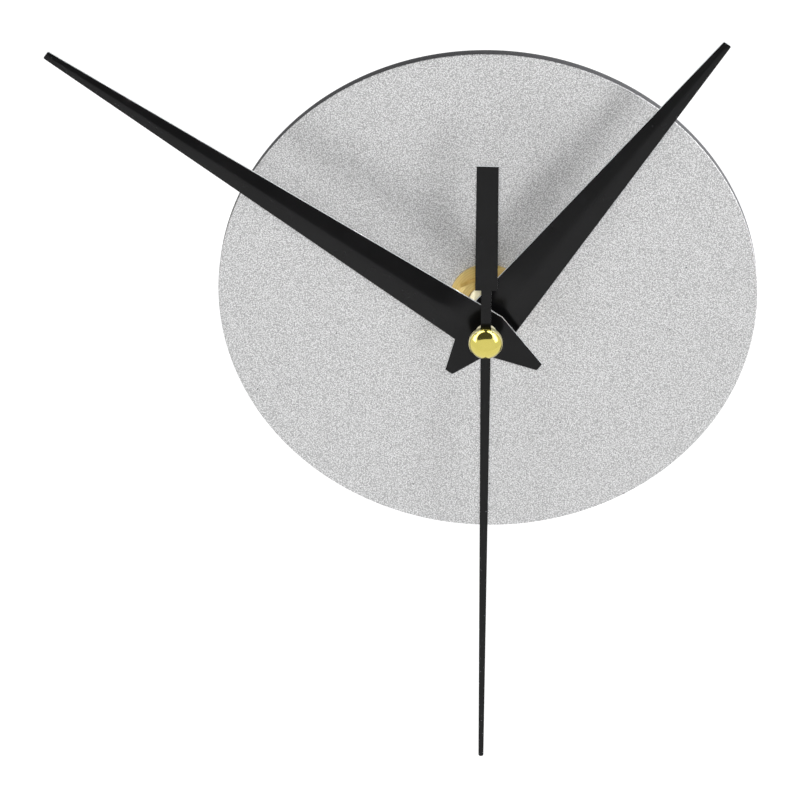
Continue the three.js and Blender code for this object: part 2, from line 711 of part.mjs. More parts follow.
function rotorArbor() {
  return join(
    rod(PIVOT_DIAMETER / 2, rearPivotEnd, plateFront - SEAT_GAP),
    rod(ROTOR_ARBOR_DIAMETER / 2, magnetBack, fifthBack - PINION_OVERHANG / 2),
    toothedDisc(rotorPinion, fifthBack - PINION_OVERHANG, fifthFront + PINION_OVERHANG),
  );
}

function rotorMagnet() {
  return ring(MAGNET_DIAMETER / 2, ROTOR_ARBOR_DIAMETER / 2 + PRESS_GAP, magnetBack, magnetFront);
}

function transferWheelAndPinion() {
  const bore = TRANSFER_POST_DIAMETER / 2 + RUN_GAP;
  return join(
    toothedDisc(transferWheel, transferBack, transferFront, bore),
    toothedDisc(transferPinion, transferFront - ROOT, hourWheelFront + PINION_OVERHANG, bore),
  );
}

function settingKnob() {
  const radius = KNOB_DIAMETER / 2;
  const stepsPerRib = 4;
  const points = Array.from({ length: KNOB_RIBS * stepsPerRib }, (_, step) => {
    const wave = Math.cos((2 * Math.PI * step) / stepsPerRib);
    const angle = (2 * Math.PI * step) / (KNOB_RIBS * stepsPerRib);
    const reach = radius - (KNOB_RIB_DEPTH * (1 - wave)) / 2;
    return [reach * Math.cos(angle), reach * Math.sin(angle)];
  });
  const pinionBack = transferBack - PINION_OVERHANG;
  const pinionFront = transferFront + PINION_OVERHANG;
  return join(
    extruded(polygon(points), KNOB_SET_IN, knobFront),
    rod(KNOB_STEM_DIAMETER / 2, knobFront - ROOT, pinionBack + ROOT),
    toothedDisc(knobPinion, pinionBack, pinionFront),
    rod(PIVOT_DIAMETER / 2, pinionFront - ROOT, pinionFront + LEVEL_GAP + PIVOT_LENGTH),
  );
}

// Stepping motor
function statorPlate() {
  const floor = ROTOR.y - statorHalf;
  const shoulder = ROTOR.y + statorHalf;
  const top = coilY + CORE_WIDTH;
  const bend = coilY - BOBBIN_FLANGE_DIAMETER / 2 - PART_GAP;
  const outline = polygon([
    [statorLeft, floor],
    [statorRight, floor],
    [statorRight, shoulder],
    [coreRight, bend],
    [coreRight, top],
    [coilRight + SEAT_GAP, top],
    [coilRight + SEAT_GAP, bend],
    [statorRight - STATOR_ARM_WIDTH, shoulder],
    [statorLeft + CORE_END, shoulder],
    [statorLeft + CORE_END, top],
    [statorLeft, top],
  ]);
  return extruded(addHole(outline, statorHole, ROTOR), statorBack, statorFront, ROUND / 2);
}

function coilCore() {
  const half = CORE_WIDTH / 2;
  return block(coreLeft, coilY - half, coreBack, coreRight, coilY + half, coreBack + CORE_THICKNESS);
}

function coilBobbin() {
  const barrel = Math.hypot(CORE_WIDTH, CORE_THICKNESS) / 2 + BOBBIN_WALL;
  const flange = BOBBIN_FLANGE_DIAMETER / 2;
  const windowStart = BOBBIN_FLANGE_THICKNESS;
  const windowEnd = COIL_LENGTH - BOBBIN_FLANGE_THICKNESS;
  const spool = turned([
    [0, 0],
    [flange, 0],
    [flange, windowStart],
    [barrel, windowStart],
    [barrel, windowEnd],
    [flange, windowEnd],
    [flange, COIL_LENGTH],
    [0, COIL_LENGTH],
  ]);
  const halfDeep = CORE_THICKNESS / 2 + SEAT_GAP;
  const halfWide = CORE_WIDTH / 2 + SEAT_GAP;
  return cut(spool, block(-halfDeep, -halfWide, -OVERCUT, halfDeep, halfWide, COIL_LENGTH + OVERCUT));
}

function coilWinding() {
  const barrel = Math.hypot(CORE_WIDTH, CORE_THICKNESS) / 2 + BOBBIN_WALL;
  const start = BOBBIN_FLANGE_THICKNESS + SEAT_GAP;
  return ring(COIL_DIAMETER / 2, barrel + PRESS_GAP, start, COIL_LENGTH - start);
}

// Circuit, contacts and cell
function circuitBoard() {
  return block(boardLeft, boardFloor, boardBack, boardRight, boardTop, boardFront);
}

function chipCap() {
  const radius = CHIP_DIAMETER / 2;
  const steps = 4;
  const profile = [[0, 0], [radius, 0]];
  for (let step = 1; step <= steps; step += 1) {
    const angle = (step * Math.PI) / (2 * steps);
    profile.push([step === steps ? 0 : radius * Math.cos(angle), CHIP_HEIGHT * Math.sin(angle)]);
  }
  return turned(profile, SMALL);
}

function quartzCrystal() {
  return rod(CRYSTAL_DIAMETER / 2, 0, CRYSTAL_LENGTH);
}

function positiveContact() {
  const right = chamberRight - LEVEL_GAP;
  const left = right - CONTACT_THICKNESS;
  const floor = batteryY - CONTACT_HEIGHT / 2;
  return join(
    block(left, floor, contactBack, right, tabTop, CONTACT_FRONT),
    block(boardRight - CONTACT_TAB, tabFloor, contactBack, right, tabTop, contactBack + CONTACT_THICKNESS),
  );
}

function negativeContact() {
  const left = chamberLeft + LEVEL_GAP;
  const right = left + CONTACT_THICKNESS;
  const floor = batteryY - CONTACT_HEIGHT / 2;
  const top = batteryY + CONTACT_HEIGHT / 2;
  const crest = chamberLeft + NEGATIVE_CONTACT_SPACE - LEVEL_GAP;
  const leafThickness = CONTACT_THICKNESS * Math.SQRT2;
  const leaf = polygon([
    [left, floor],
    [right, floor],
    [crest, batteryY],
    [right, top],
    [left, top],
    [crest - leafThickness, batteryY],
  ]);
  const railFloor = chamberFloor + LEVEL_GAP;
  const railTop = railFloor + CONTACT_THICKNESS;
  const railRight = boardLeft + CONTACT_TAB;
  const tabFront = contactBack + CONTACT_THICKNESS;
  return join(
    extruded(leaf, contactBack, CONTACT_FRONT),
    block(left, top - CONTACT_THICKNESS, contactBack, right, railTop, CONTACT_FRONT),
    block(left, railFloor, contactBack, railRight, railTop, contactBack + CONTACT_RAIL),
    block(boardLeft + PART_GAP, railFloor, contactBack, railRight, tabTop, tabFront),
  );
}

function batteryCell() {
  const radius = BATTERY_DIAMETER / 2;
  const nub = BATTERY_NUB_DIAMETER / 2;
  const shoulder = BATTERY_LENGTH - BATTERY_NUB_LENGTH;
  return turned([
    [0, 0],
    [radius, 0],
    [radius, shoulder],
    [nub, shoulder],
    [nub, BATTERY_LENGTH],
    [0, BATTERY_LENGTH],
  ]);
}

// Hands, drawn pointing at twelve
function taperedHand(reach, tail, width, hubHole, back) {
  const end = HAND_END_WIDTH / 2;
  const outline = polygon([
    [-end, -tail],
    [end, -tail],
    [width / 2, -HAND_SHOULDER_DROP],
    [end, reach],
    [-end, reach],
    [-width / 2, -HAND_SHOULDER_DROP],
  ]);
  return extruded(addHole(outline, hubHole), back, back + HAND_THICKNESS, ROUND / 2);
}

function hubNeck(shaftDiameter) {
  return shaftDiameter / 2 + PRESS_GAP + HUB_NECK_WALL;
}

function handBush(shaftDiameter, handBack, standOff, rimBehind) {
  const bore = shaftDiameter / 2 + PRESS_GAP;
  const sleeve = bore + HUB_SLEEVE_WALL;
  const rim = bore + HUB_RIM_WALL;
  const neck = hubNeck(shaftDiameter);
  const handFront = handBack + HAND_THICKNESS;
  const sleeveBack = handBack - standOff + rimBehind + HUB_GAP;
  return turned([
    [bore, sleeveBack],
    [sleeve, sleeveBack],
    [sleeve, handBack - SEAT_GAP],
    [neck, handBack - SEAT_GAP],
    [neck, handFront + SEAT_GAP],
    [rim, handFront + SEAT_GAP],
    [rim, handFront + rimReach],
    [bore, handFront + rimReach],
    [bore, sleeveBack],
  ]);
}

function hourHand() {
  const hole = hubNeck(HOUR_TUBE_DIAMETER) + PRESS_GAP;
  return taperedHand(HOUR_HAND_REACH, HOUR_HAND_TAIL, HOUR_HAND_WIDTH, hole, hourHandBack);
}

function minuteHand() {
  const hole = hubNeck(MINUTE_PIPE_DIAMETER) + PRESS_GAP;
  return taperedHand(MINUTE_HAND_REACH, MINUTE_HAND_TAIL, MINUTE_HAND_WIDTH, hole, minuteHandBack);
}

const secondTubeBore = SECOND_ARBOR_DIAMETER / 2 + PRESS_GAP;
const secondTubeNeck = secondTubeBore + SECOND_TUBE_NECK_WALL;
const secondTubeSleeve = secondTubeBore + SECOND_TUBE_SLEEVE_WALL;

function secondHand() {
  const needle = NEEDLE_WIDTH / 2;
  const tip = NEEDLE_TIP_WIDTH / 2;
  const weight = COUNTERWEIGHT_WIDTH / 2;
  const eye = secondTubeNeck + PRESS_GAP + HUB_NECK_WALL;
  const eyeSpread = Math.acos(needle / eye);
  const shape = new THREE.Shape();
  shape.moveTo(needle, -COUNTERWEIGHT_START);
  shape.absarc(0, 0, eye, -eyeSpread, eyeSpread);
  shape.lineTo(tip, SECOND_HAND_REACH - tip);
  shape.absarc(0, SECOND_HAND_REACH - tip, tip, 0, Math.PI);
  shape.absarc(0, 0, eye, Math.PI - eyeSpread, Math.PI + eyeSpread);
  shape.lineTo(-needle, -COUNTERWEIGHT_START);
  shape.lineTo(-weight, -COUNTERWEIGHT_START);
  shape.lineTo(-weight, -COUNTERWEIGHT_END);
  shape.lineTo(weight, -COUNTERWEIGHT_END);
  shape.lineTo(weight, -COUNTERWEIGHT_START);
  shape.closePath();
  addHole(shape, secondTubeNeck + PRESS_GAP);
  return extruded(shape, secondHandBack, secondHandFront, SMALL / 2);
}

function secondHandTube() {
  const sleeveBack = minutePipeFront + HUB_GAP;
  return turned([
    [secondTubeBore, sleeveBack],
    [secondTubeSleeve, sleeveBack],
    [secondTubeSleeve, secondHandBack - SEAT_GAP],
    [secondTubeNeck, secondHandBack - SEAT_GAP],
    [secondTubeNeck, secondTubeFront],
    [secondTubeBore, secondTubeFront],
    [secondTubeBore, sleeveBack],
  ], SMALL);
}

function secondHandCap() {
  const rim = CAP_DIAMETER / 2;
  const radius = rim - CAP_RIM_STEP;
  const socket = secondTubeNeck + PRESS_GAP;
  const socketEnd = capBack + CAP_SOCKET_DEPTH;
  const rimFront = capBack + CAP_RIM;
  const bandFront = rimFront + CAP_BAND;
  const domeRadius = (radius * radius + CAP_DOME * CAP_DOME) / (2 * CAP_DOME);
  const domeSpread = Math.asin(radius / domeRadius);
  const domeCentre = bandFront + CAP_DOME - domeRadius;
  const profile = [
    [0, socketEnd],
    [socket, socketEnd],
    [socket, capBack],
    [rim, capBack],
    [rim, rimFront],
    [radius, rimFront],
  ];
  const steps = 6;
  for (let step = 0; step <= steps; step += 1) {
    const angle = domeSpread * (1 - step / steps);
    const reach = step === steps ? 0 : domeRadius * Math.sin(angle);
    profile.push([reach, domeCentre + domeRadius * Math.cos(angle)]);
  }
  return turned(profile);
}

// Materials
function finish(color, roughness, metalness) {
  return new THREE.MeshStandardMaterial({ color, roughness, metalness });
}

const silverSand = finish(0xc8c8ca, 0.55, 0.3);
const blackLacquer = finish(0x1e1e20, 0.4, 0.1);
const brass = finish(0xd8b24a, 0.3, 1);
const polishedGold = finish(0xe2bc3c, 0.12, 1);
const blackPlastic = finish(0x19191a, 0.6, 0);
const whitePlastic = finish(0xe9e6dc, 0.5, 0);
const blackRubber = finish(0x101010, 0.9, 0);
const steel = finish(0xa9abae, 0.3, 1);
const darkMagnet = finish(0x4a4a4d, 0.5, 0.8);
const copperWire = finish(0xb5683a, 0.35, 1);
const greenBoard = finish(0x2f6b3d, 0.5, 0);
const blackResin = finish(0x0d0d0e, 0.35, 0);
const cellJacket = finish(0x3c6f9e, 0.35, 0.3);

// Assembly
const clock = new THREE.Group();
clock.rotation.x = Math.PI / 2;

function place(parent, name, geometry, material, at = SHAFT, turn = 0) {
  const mesh = new THREE.Mesh(geometry, material);
  mesh.name = name;
  mesh.position.set(at.x, at.y, 0);
  mesh.rotation.z = turn;
  parent.add(mesh);
  return mesh;
}

function group() {
  const part = new THREE.Group();
  clock.add(part);
  return part;
}

function clockwise(degrees) {
  return -THREE.MathUtils.degToRad(degrees);
}

const face = group();
place(face, "dial_plate", dialPlate(), silverSand);
place(face, "rubber_gasket", rubberGasket(), blackRubber);
place(face, "brass_washer", brassWasher(), brass);
place(face, "hex_nut", hexNut(), brass);
place(face, "threaded_bush", threadedBush(), brass);

const housing = group();
place(housing, "movement_case", movementCase(), blackPlastic);
place(housing, "rear_cover", rearCover(), blackPlastic);
place(housing, "middle_plate", middlePlate(), whitePlastic);

// The minute pinion and the second wheel stand at zero turn, and the other wheels follow their teeth
const motionTrain = group();
const transferTurn = meshedTurn(0, minutePinion, transferWheel, TRANSFER_ANGLE);
const hourTurn = meshedTurn(transferTurn, transferPinion, hourWheel, TRANSFER_ANGLE + 180);
const knobTurn = meshedTurn(transferTurn, transferWheel, knobPinion, KNOB_ANGLE);
place(motionTrain, "hour_tube", hourTube(), brass);
place(motionTrain, "hour_wheel", hourWheelDisc(), whitePlastic, SHAFT, hourTurn);
place(motionTrain, "minute_pipe", minutePipe(), brass);
place(motionTrain, "clutch_spring", clutchSpring(), steel);
place(motionTrain, "transfer_wheel", transferWheelAndPinion(), whitePlastic, TRANSFER, transferTurn);
place(motionTrain, "setting_knob", settingKnob(), blackPlastic, KNOB, knobTurn);

const goingTrain = group();
const thirdTurn = meshedTurn(0, secondPinion, thirdWheel, THIRD_ANGLE);
const centreTurn = meshedTurn(thirdTurn, thirdPinion, centreWheel, THIRD_ANGLE + 180);
const fifthTurn = meshedTurn(0, secondWheel, fifthPinion, FIFTH_ANGLE);
const rotorTurn = meshedTurn(fifthTurn, fifthWheel, rotorPinion, ROTOR_ANGLE);
place(goingTrain, "second_arbor", secondArbor(), steel);
place(goingTrain, "second_wheel", secondWheelAndPinion(), whitePlastic);
place(goingTrain, "third_wheel", thirdWheelAndPinion(), whitePlastic, THIRD, thirdTurn);
place(goingTrain, "centre_wheel", centreWheelDisc(), whitePlastic, SHAFT, centreTurn);
place(goingTrain, "fifth_wheel", fifthWheelAndPinion(), whitePlastic, FIFTH, fifthTurn);
place(goingTrain, "rotor_pinion", rotorArbor(), whitePlastic, ROTOR, rotorTurn);
place(goingTrain, "rotor_magnet", rotorMagnet(), darkMagnet, ROTOR);

const motor = group();
place(motor, "stator", statorPlate(), steel);
place(motor, "coil_core", coilCore(), steel);
const bobbin = place(motor, "coil_bobbin", coilBobbin(), blackPlastic);
const winding = place(motor, "coil_winding", coilWinding(), copperWire);
for (const wound of [bobbin, winding]) {
  wound.position.set(coilLeft, coilY, coreMiddle);
  wound.rotation.y = Math.PI / 2;
}

const circuit = group();
place(circuit, "circuit_board", circuitBoard(), greenBoard);
const chipAt = { x: boardLeft + BOARD_WIDTH / 2, y: boardFloor + BOARD_HEIGHT / 2 };
place(circuit, "chip_cap", chipCap(), blackResin, chipAt).position.z = boardFront + SEAT_GAP;
const crystal = place(circuit, "quartz_crystal", quartzCrystal(), steel);
const crystalX = boardRight - PART_GAP - CRYSTAL_LENGTH;
const crystalY = boardTop - PART_GAP - CRYSTAL_DIAMETER / 2;
crystal.position.set(crystalX, crystalY, boardFront + SEAT_GAP + CRYSTAL_DIAMETER / 2);
crystal.rotation.y = Math.PI / 2;
place(circuit, "positive_contact", positiveContact(), steel);
place(circuit, "negative_contact", negativeContact(), steel);
const cell = place(circuit, "battery_cell", batteryCell(), cellJacket);
cell.position.set(chamberLeft + NEGATIVE_CONTACT_SPACE, batteryY, batteryZ);
cell.rotation.y = Math.PI / 2;

const hands = group();
const hourAngle = clockwise(HOUR_HAND_ANGLE);
const minuteAngle = clockwise(MINUTE_HAND_ANGLE);
const secondAngle = clockwise(SECOND_HAND_ANGLE);
const hourBush = handBush(HOUR_TUBE_DIAMETER, hourHandBack, HOUR_HAND_STAND_OFF, 0);
const minuteBush = handBush(MINUTE_PIPE_DIAMETER, minuteHandBack, MINUTE_HAND_STAND_OFF, rimReach);
place(hands, "hour_hand", hourHand(), blackLacquer, SHAFT, hourAngle);
place(hands, "hour_hand_bush", hourBush, brass);
place(hands, "minute_hand", minuteHand(), blackLacquer, SHAFT, minuteAngle);
place(hands, "minute_hand_bush", minuteBush, brass);
place(hands, "second_hand", secondHand(), blackLacquer, SHAFT, secondAngle);
place(hands, "second_hand_tube", secondHandTube(), brass);
place(hands, "second_hand_cap", secondHandCap(), polishedGold);

export default clock;
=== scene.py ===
# Looks of a frameless wall clock: a silver sanded dial on a quartz movement, held by a brass nut and
# washer, with three long black hands and a polished gold cap. The clock faces -Y, +Z is up and the wall
# stands at y = 0. Sizes are written in millimetres, and a depth is measured from the wall to the front.
import json
import math

import bmesh
import bpy
from mathutils import Matrix, Vector
from mathutils.geometry import delaunay_2d_cdt

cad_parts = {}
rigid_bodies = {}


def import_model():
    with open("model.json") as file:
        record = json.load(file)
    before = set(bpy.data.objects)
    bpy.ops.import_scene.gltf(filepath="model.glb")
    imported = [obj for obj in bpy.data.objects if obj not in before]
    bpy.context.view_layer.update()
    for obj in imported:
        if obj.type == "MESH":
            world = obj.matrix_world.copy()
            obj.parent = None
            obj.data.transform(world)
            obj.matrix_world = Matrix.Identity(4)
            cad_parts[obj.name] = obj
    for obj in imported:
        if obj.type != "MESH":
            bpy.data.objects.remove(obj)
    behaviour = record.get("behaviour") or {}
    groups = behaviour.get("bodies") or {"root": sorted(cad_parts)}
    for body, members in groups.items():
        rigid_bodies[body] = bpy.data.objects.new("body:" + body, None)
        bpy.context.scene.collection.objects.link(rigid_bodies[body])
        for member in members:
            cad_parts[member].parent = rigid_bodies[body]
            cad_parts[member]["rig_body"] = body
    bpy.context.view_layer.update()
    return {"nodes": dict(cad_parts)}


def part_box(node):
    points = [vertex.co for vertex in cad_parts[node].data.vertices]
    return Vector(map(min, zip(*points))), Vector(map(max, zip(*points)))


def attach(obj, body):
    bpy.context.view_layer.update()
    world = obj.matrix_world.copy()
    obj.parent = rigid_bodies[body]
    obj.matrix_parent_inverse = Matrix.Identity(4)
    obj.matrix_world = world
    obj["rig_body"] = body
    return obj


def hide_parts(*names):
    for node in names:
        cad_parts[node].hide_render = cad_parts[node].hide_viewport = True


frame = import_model()

MM = 0.001
FULL_TURN = 2 * math.pi
WELD = 1e-7
CREASE = math.radians(28)
HAND_CREASE = math.radians(24)
MOULD_CREASE = math.radians(36)
FLAT_LIMIT = math.radians(1)
EASED_ANGLE = math.radians(50)
DEPTH_MATCH = 0.01
TRIANGLES_WITH_HOLES = 2

# Camera and studio
CAMERA_PLACE = (0.0139, -1.0316, 0.5693)
CAMERA_YAW = math.radians(1.889)
CAMERA_PITCH = math.radians(30.505)
CAMERA_SENSOR = 36.0
CAMERA_LENS = 234.6
CAMERA_REACH = 100
FLOOR_HEIGHT = -1.2
FLOOR_RADIUS = 3.1
FLOOR_BEHIND = 1.6
FLOOR_STEPS = 96
FLOOR_GLOW = 1.0
RIGHT_LIGHT = {"place": (0.596, -1.153, 0.072), "width": 0.42, "length": 0.67, "power": 6.2}
LEFT_LIGHT = {"place": (-0.659, -1.097, -0.229), "width": 0.49, "length": 0.67, "power": 4.2}
FRONT_LIGHT = {"place": CAMERA_PLACE, "width": 0.06, "length": 0.06, "power": 8.35}
LOW_LIGHT = {"place": (0, -0.92, -0.92), "width": 2.6, "length": 1.0, "power": 22.0}
EDGE_LIGHT = {"place": (0.79, 0.6, 0.11), "width": 0.4, "length": 0.4, "power": 58.0}
RIGHT_LEAN = math.radians(22)
LEFT_LEAN = math.radians(-47)
LOW_LEAN = math.radians(19)
WALL_GLOW = 1.31
PANEL_GLOW = 7.5
CEILING_GLOW = 0.085
CEILING_MIDDLE = (-0.07, -0.345)
CEILING_SPREAD = (0.77, 0.40)
SOFT_FRONT = 0.03
SOFT_BACK = 0.95

# Where the ceiling, the panels round it and the soft light fade in or out
CEILING_FOOT = (-0.15, 0.0)
CEILING_EDGE = (1.06, 0.92)
PANEL_INSIDE = (1.0, 1.12)
PANEL_OUTSIDE = (1.70, 1.56)
PANEL_FRONT = (-0.46, -0.28)
PANEL_BACK = (0.24, 0.14)
PANEL_FOOT = (0.04, 0.16)
SOFT_SIDE = (0.0, 0.35)

# Dial and its fixings
DIAL_BORE = 4.25
DIAL_BREAK = 0.25
FILM_REACH = 0.30
FILM_FADE = 0.05
FILM_WANDER = 0.22
SAND_GRAIN = 0.12
SAND_BEAD = 0.31
SPECK_SPACING = 6.5
DIAL_STEPS = 256
ROUND_STEPS = 96
CORNER_STEPS = 5
FIXING_BORE = 4.3
GASKET_EASE = 0.3
WASHER_EASE = 0.14
NUT_FLAT = 6.0
NUT_SIDES = 6
NUT_CHAMFER_SLOPE = math.tan(math.radians(30))
NUT_CHAMFER_RADIUS = 6.06
NUT_MOUTH = 0.25
BUSH_CREST = 4.2
BUSH_ROOT = 3.78
BUSH_BORE = 2.62
BUSH_FLANGE_FRONT = 14.75
THREAD_PITCH = 0.75
THREAD_ROWS_PER_TURN = 12
THREAD_START = 22.3
THREAD_LEAD_IN = 0.45
THREAD_FLAT = 0.12

# Hands
HAND_CORNER = 0.1
HAND_END_CORNER = 0.35
HAND_EDGE_BREAK = 0.03
HAND_END_HALF = 0.95
HAND_SHOULDER = -0.5
HAND_ROW = 1.6
HAND_HOLE_STEPS = 40
HAND_HOLE_MARGIN = 0.12
RIDGE_SLOPE = math.tan(math.radians(10))
RIDGE_SOFTNESS = 0.22
RIDGE_START = 3.3
RIDGE_FULL = 15.0
RIDGE_COLUMNS = (-0.88, -0.7, -0.5, -0.34, -0.2, -0.1, 0.0, 0.1, 0.2, 0.34, 0.5, 0.7, 0.88)
HOUR_HAND = {"reach": 87.0, "tail": 14.0, "half": 6.1, "hole": 3.10, "angle": math.radians(35.8)}
MINUTE_HAND = {"reach": 116.0, "tail": 14.5, "half": 5.4, "hole": 2.30, "angle": math.radians(-54.8)}
SECOND_HAND_ANGLE = math.radians(180.1)
SECOND_HAND_REACH = 110.0
SECOND_HAND_HOLE = 0.95
SECOND_HAND_EYE = 1.45
EYE_STEPS = 8
NEEDLE_HALF = 1.12
NEEDLE_TIP_HALF = 0.575
NEEDLE_TIP_CORNER = 0.5175
COUNTERWEIGHT_START = 12.7
COUNTERWEIGHT_END = 43.3
COUNTERWEIGHT_HALF = 2.45
COUNTERWEIGHT_END_HALF = 2.38
SEAT_GAP = 0.05

# Hand bushes, tube and cap
HOUR_BUSH = {"bore": 2.55, "neck": 3.05, "rim": 3.25, "sleeve": 3.65, "hand": "hour_hand"}
MINUTE_BUSH = {"bore": 1.75, "neck": 2.25, "rim": 2.45, "sleeve": 2.85, "hand": "minute_hand"}
SECOND_TUBE = {"bore": 0.55, "neck": 0.90, "rim": 0.90, "sleeve": 1.15, "hand": "second_hand"}
BUSH_EASE = 0.1
CAP_SOCKET = 0.95
CAP_SOCKET_DEPTH = 1.0
CAP_RIM = 3.70
CAP_RIM_HEIGHT = 1.25
CAP_GROOVE = 3.25
CAP_GROOVE_HEIGHT = 0.18
CAP_DOME = 3.6
CAP_DOME_STEPS = 28

# Movement; its moulded parts have their outer edges eased at these depths
CASE_EDGES = {"depths": (0, 2.5, 16), "ease": 0.25}
COVER_EDGES = {"depths": (0,), "ease": 0.2}
KNOB_EDGES = {"depths": (0.4,), "ease": 0.15}
EASE_STEPS = 2
MAGNET_CRUMB = 0.18
BOARD_WEAVE = 0.5

# Cell
CELL_NUB = 2.6
CELL_NUB_LENGTH = 1.2
CELL_FOOT = 5.4
CELL_CRIMP = 0.7
CELL_SLEEVE_TURN_IN = 1.3
CELL_SLEEVE_SET_BACK = 0.3
CELL_NUB_EASE = 0.35
CELL_BAND = 11.5
CELL_BAND_FADE = 0.12

# Colours, linear
SAND_DARK = (0.26, 0.26, 0.262, 1)
SAND_LIGHT = (0.84, 0.84, 0.845, 1)
SPECK = (0.09, 0.09, 0.09, 1)
CORE_DARK = (0.021, 0.021, 0.023, 1)
CORE_LIGHT = (0.056, 0.056, 0.059, 1)


class Wire:
    """A socket of a finish; sums, differences and products of wires add Math nodes to that finish."""

    def __init__(self, finish, socket):
        self.finish = finish
        self.socket = socket

    def _math(self, operation, first, second):
        return self.finish.node("ShaderNodeMath", {"operation": operation}, {0: first, 1: second})

    def __add__(self, other):
        return self._math("ADD", self, other)

    __radd__ = __add__

    def __sub__(self, other):
        return self._math("SUBTRACT", self, other)

    def __rsub__(self, other):
        return self._math("SUBTRACT", other, self)

    def __mul__(self, other):
        return self._math("MULTIPLY", self, other)

    __rmul__ = __mul__


class Finish:
    """The node tree of one finish, with the few textures that the clock's finishes share."""

    def __init__(self, tree):
        self.tree = tree
        tree.nodes.clear()

    def node(self, kind, settings, sockets, output=0):
        made = self.tree.nodes.new(kind)
        for setting, value in settings.items():
            setattr(made, setting, value)
        for name, value in sockets.items():
            if isinstance(value, Wire):
                self.tree.links.new(value.socket, made.inputs[name])
            else:
                made.inputs[name].default_value = value
        return Wire(self, made.outputs[output]) if made.outputs else None

    def place(self):
        return self.node("ShaderNodeTexCoord", {}, {}, "Object")

    def along(self, vector, axis):
        return self.node("ShaderNodeSeparateXYZ", {}, {0: vector}, axis)

    def noise(self, vector, size, detail=3.0):
        sockets = {"Vector": vector, "Scale": 1 / size, "Detail": detail}
        return self.node("ShaderNodeTexNoise", {}, sockets)

    def grain(self, vector, size):
        """A steady random number for each grain of about this size."""
        colour = self.node("ShaderNodeTexVoronoi", {}, {"Vector": vector, "Scale": 1 / size}, "Color")
        return self.node("ShaderNodeSeparateColor", {}, {0: colour})

    def spacing(self, vector, size):
        """Distance from the middle of the nearest grain, in grain sizes."""
        return self.node("ShaderNodeTexVoronoi", {}, {"Vector": vector, "Scale": 1 / size}, "Distance")

    def stretched(self, vector, scale):
        return self.node("ShaderNodeVectorMath", {"operation": "MULTIPLY"}, {0: vector, 1: scale})

    def step(self, value, start, end):
        """0 up to start and 1 from end on, smooth between them; start may be the larger."""
        sockets = {0: value, 1: start, 2: end, 3: 0.0, 4: 1.0}
        return self.node("ShaderNodeMapRange", {"interpolation_type": "SMOOTHSTEP"}, sockets)

    def ripple(self, value, length):
        """A wave between -1 and 1 of this length."""
        return self.node("ShaderNodeMath", {"operation": "SINE"}, {0: value * (FULL_TURN / length)})

    def blend(self, share, first, second):
        return self.node("ShaderNodeMix", {"data_type": "RGBA"}, {0: share, 6: first, 7: second}, 2)

    def radius(self, vector, across=0.0, up=0.0):
        """Distance from the front-to-back line through this point of the clock."""
        flat = self.node("ShaderNodeCombineXYZ", {}, {
            "X": self.along(vector, "X") - across,
            "Z": self.along(vector, "Z") - up,
        })
        return self.node("ShaderNodeVectorMath", {"operation": "LENGTH"}, {0: flat}, "Value")

    def relief(self, height, depth):
        return self.node("ShaderNodeBump", {}, {"Height": height, "Distance": depth}, "Normal")

    def shader(self, colour, roughness, normal, extra):
        sockets = {"Base Color": colour, "Roughness": roughness, "Normal": normal}
        return self.node("ShaderNodeBsdfPrincipled", {}, sockets | extra)


def material(recipe):
    """A material named after the function that mixes it."""
    made = bpy.data.materials.new(recipe.__name__)
    made.use_nodes = True
    finish = Finish(made.node_tree)
    finish.node("ShaderNodeOutputMaterial", {}, {"Surface": recipe(finish)})
    return made


# Finishes
def silver_sand(finish):
    """Silver sand film on the dial's face, and the dark grey core on its edge and back."""
    place = finish.place()
    fine = finish.grain(place, SAND_GRAIN * MM)
    beads = finish.step(finish.spacing(place, SAND_BEAD * MM), 0.72, 0.18)
    mottle = finish.noise(place, 6 * MM)
    shine = beads * 0.62 + fine * 0.35 + mottle * 0.03
    face = finish.blend(shine, SAND_DARK, SAND_LIGHT)
    speck = finish.step(finish.spacing(place, SPECK_SPACING * MM), 0.035, 0.022)
    face = finish.blend(speck, face, SPECK)
    core = finish.blend(finish.noise(place, 0.5 * MM, 5.0), CORE_DARK, CORE_LIGHT)
    depth = (fine - 0.5) * (FILM_WANDER * MM) - finish.along(place, "Y")
    film_back = depths("dial_plate")[1] - FILM_REACH
    film = finish.step(depth, (film_back - FILM_FADE) * MM, (film_back + FILM_FADE) * MM)
    colour = finish.blend(film, core, face)
    roughness = 0.62 - film * 0.14 + (fine - 0.5) * 0.16
    bumps = finish.relief(finish.spacing(place, SAND_GRAIN * MM), 0.004 * MM)
    return finish.shader(colour, roughness, bumps, {"Metallic": film * 0.25, "Specular IOR Level": 0.2})


def black_lacquer(finish):
    """Satin black lacquer of the hands."""
    place = finish.place()
    cloud = finish.noise(place, 9 * MM)
    peel = finish.noise(place, 0.55 * MM, 2.0)
    colour = finish.blend(cloud, (0.0010, 0.0010, 0.0011, 1), (0.0030, 0.0030, 0.0032, 1))
    roughness = 0.15 + peel * 0.05 + cloud * 0.03
    return finish.shader(colour, roughness, finish.relief(peel, 0.004 * MM), {"IOR": 1.15})


def bare_cut(finish):
    """Bare aluminium where the hands were cut from sheet."""
    place = finish.place()
    drag = finish.noise(finish.stretched(place, (1.0, 12.0, 1.0)), 0.8 * MM)
    colour = finish.blend(drag, (0.82, 0.85, 0.86, 1), (0.93, 0.97, 0.98, 1))
    roughness = 0.45 + drag * 0.14
    return finish.shader(colour, roughness, finish.relief(drag, 0.01 * MM), {"IOR": 1.5})


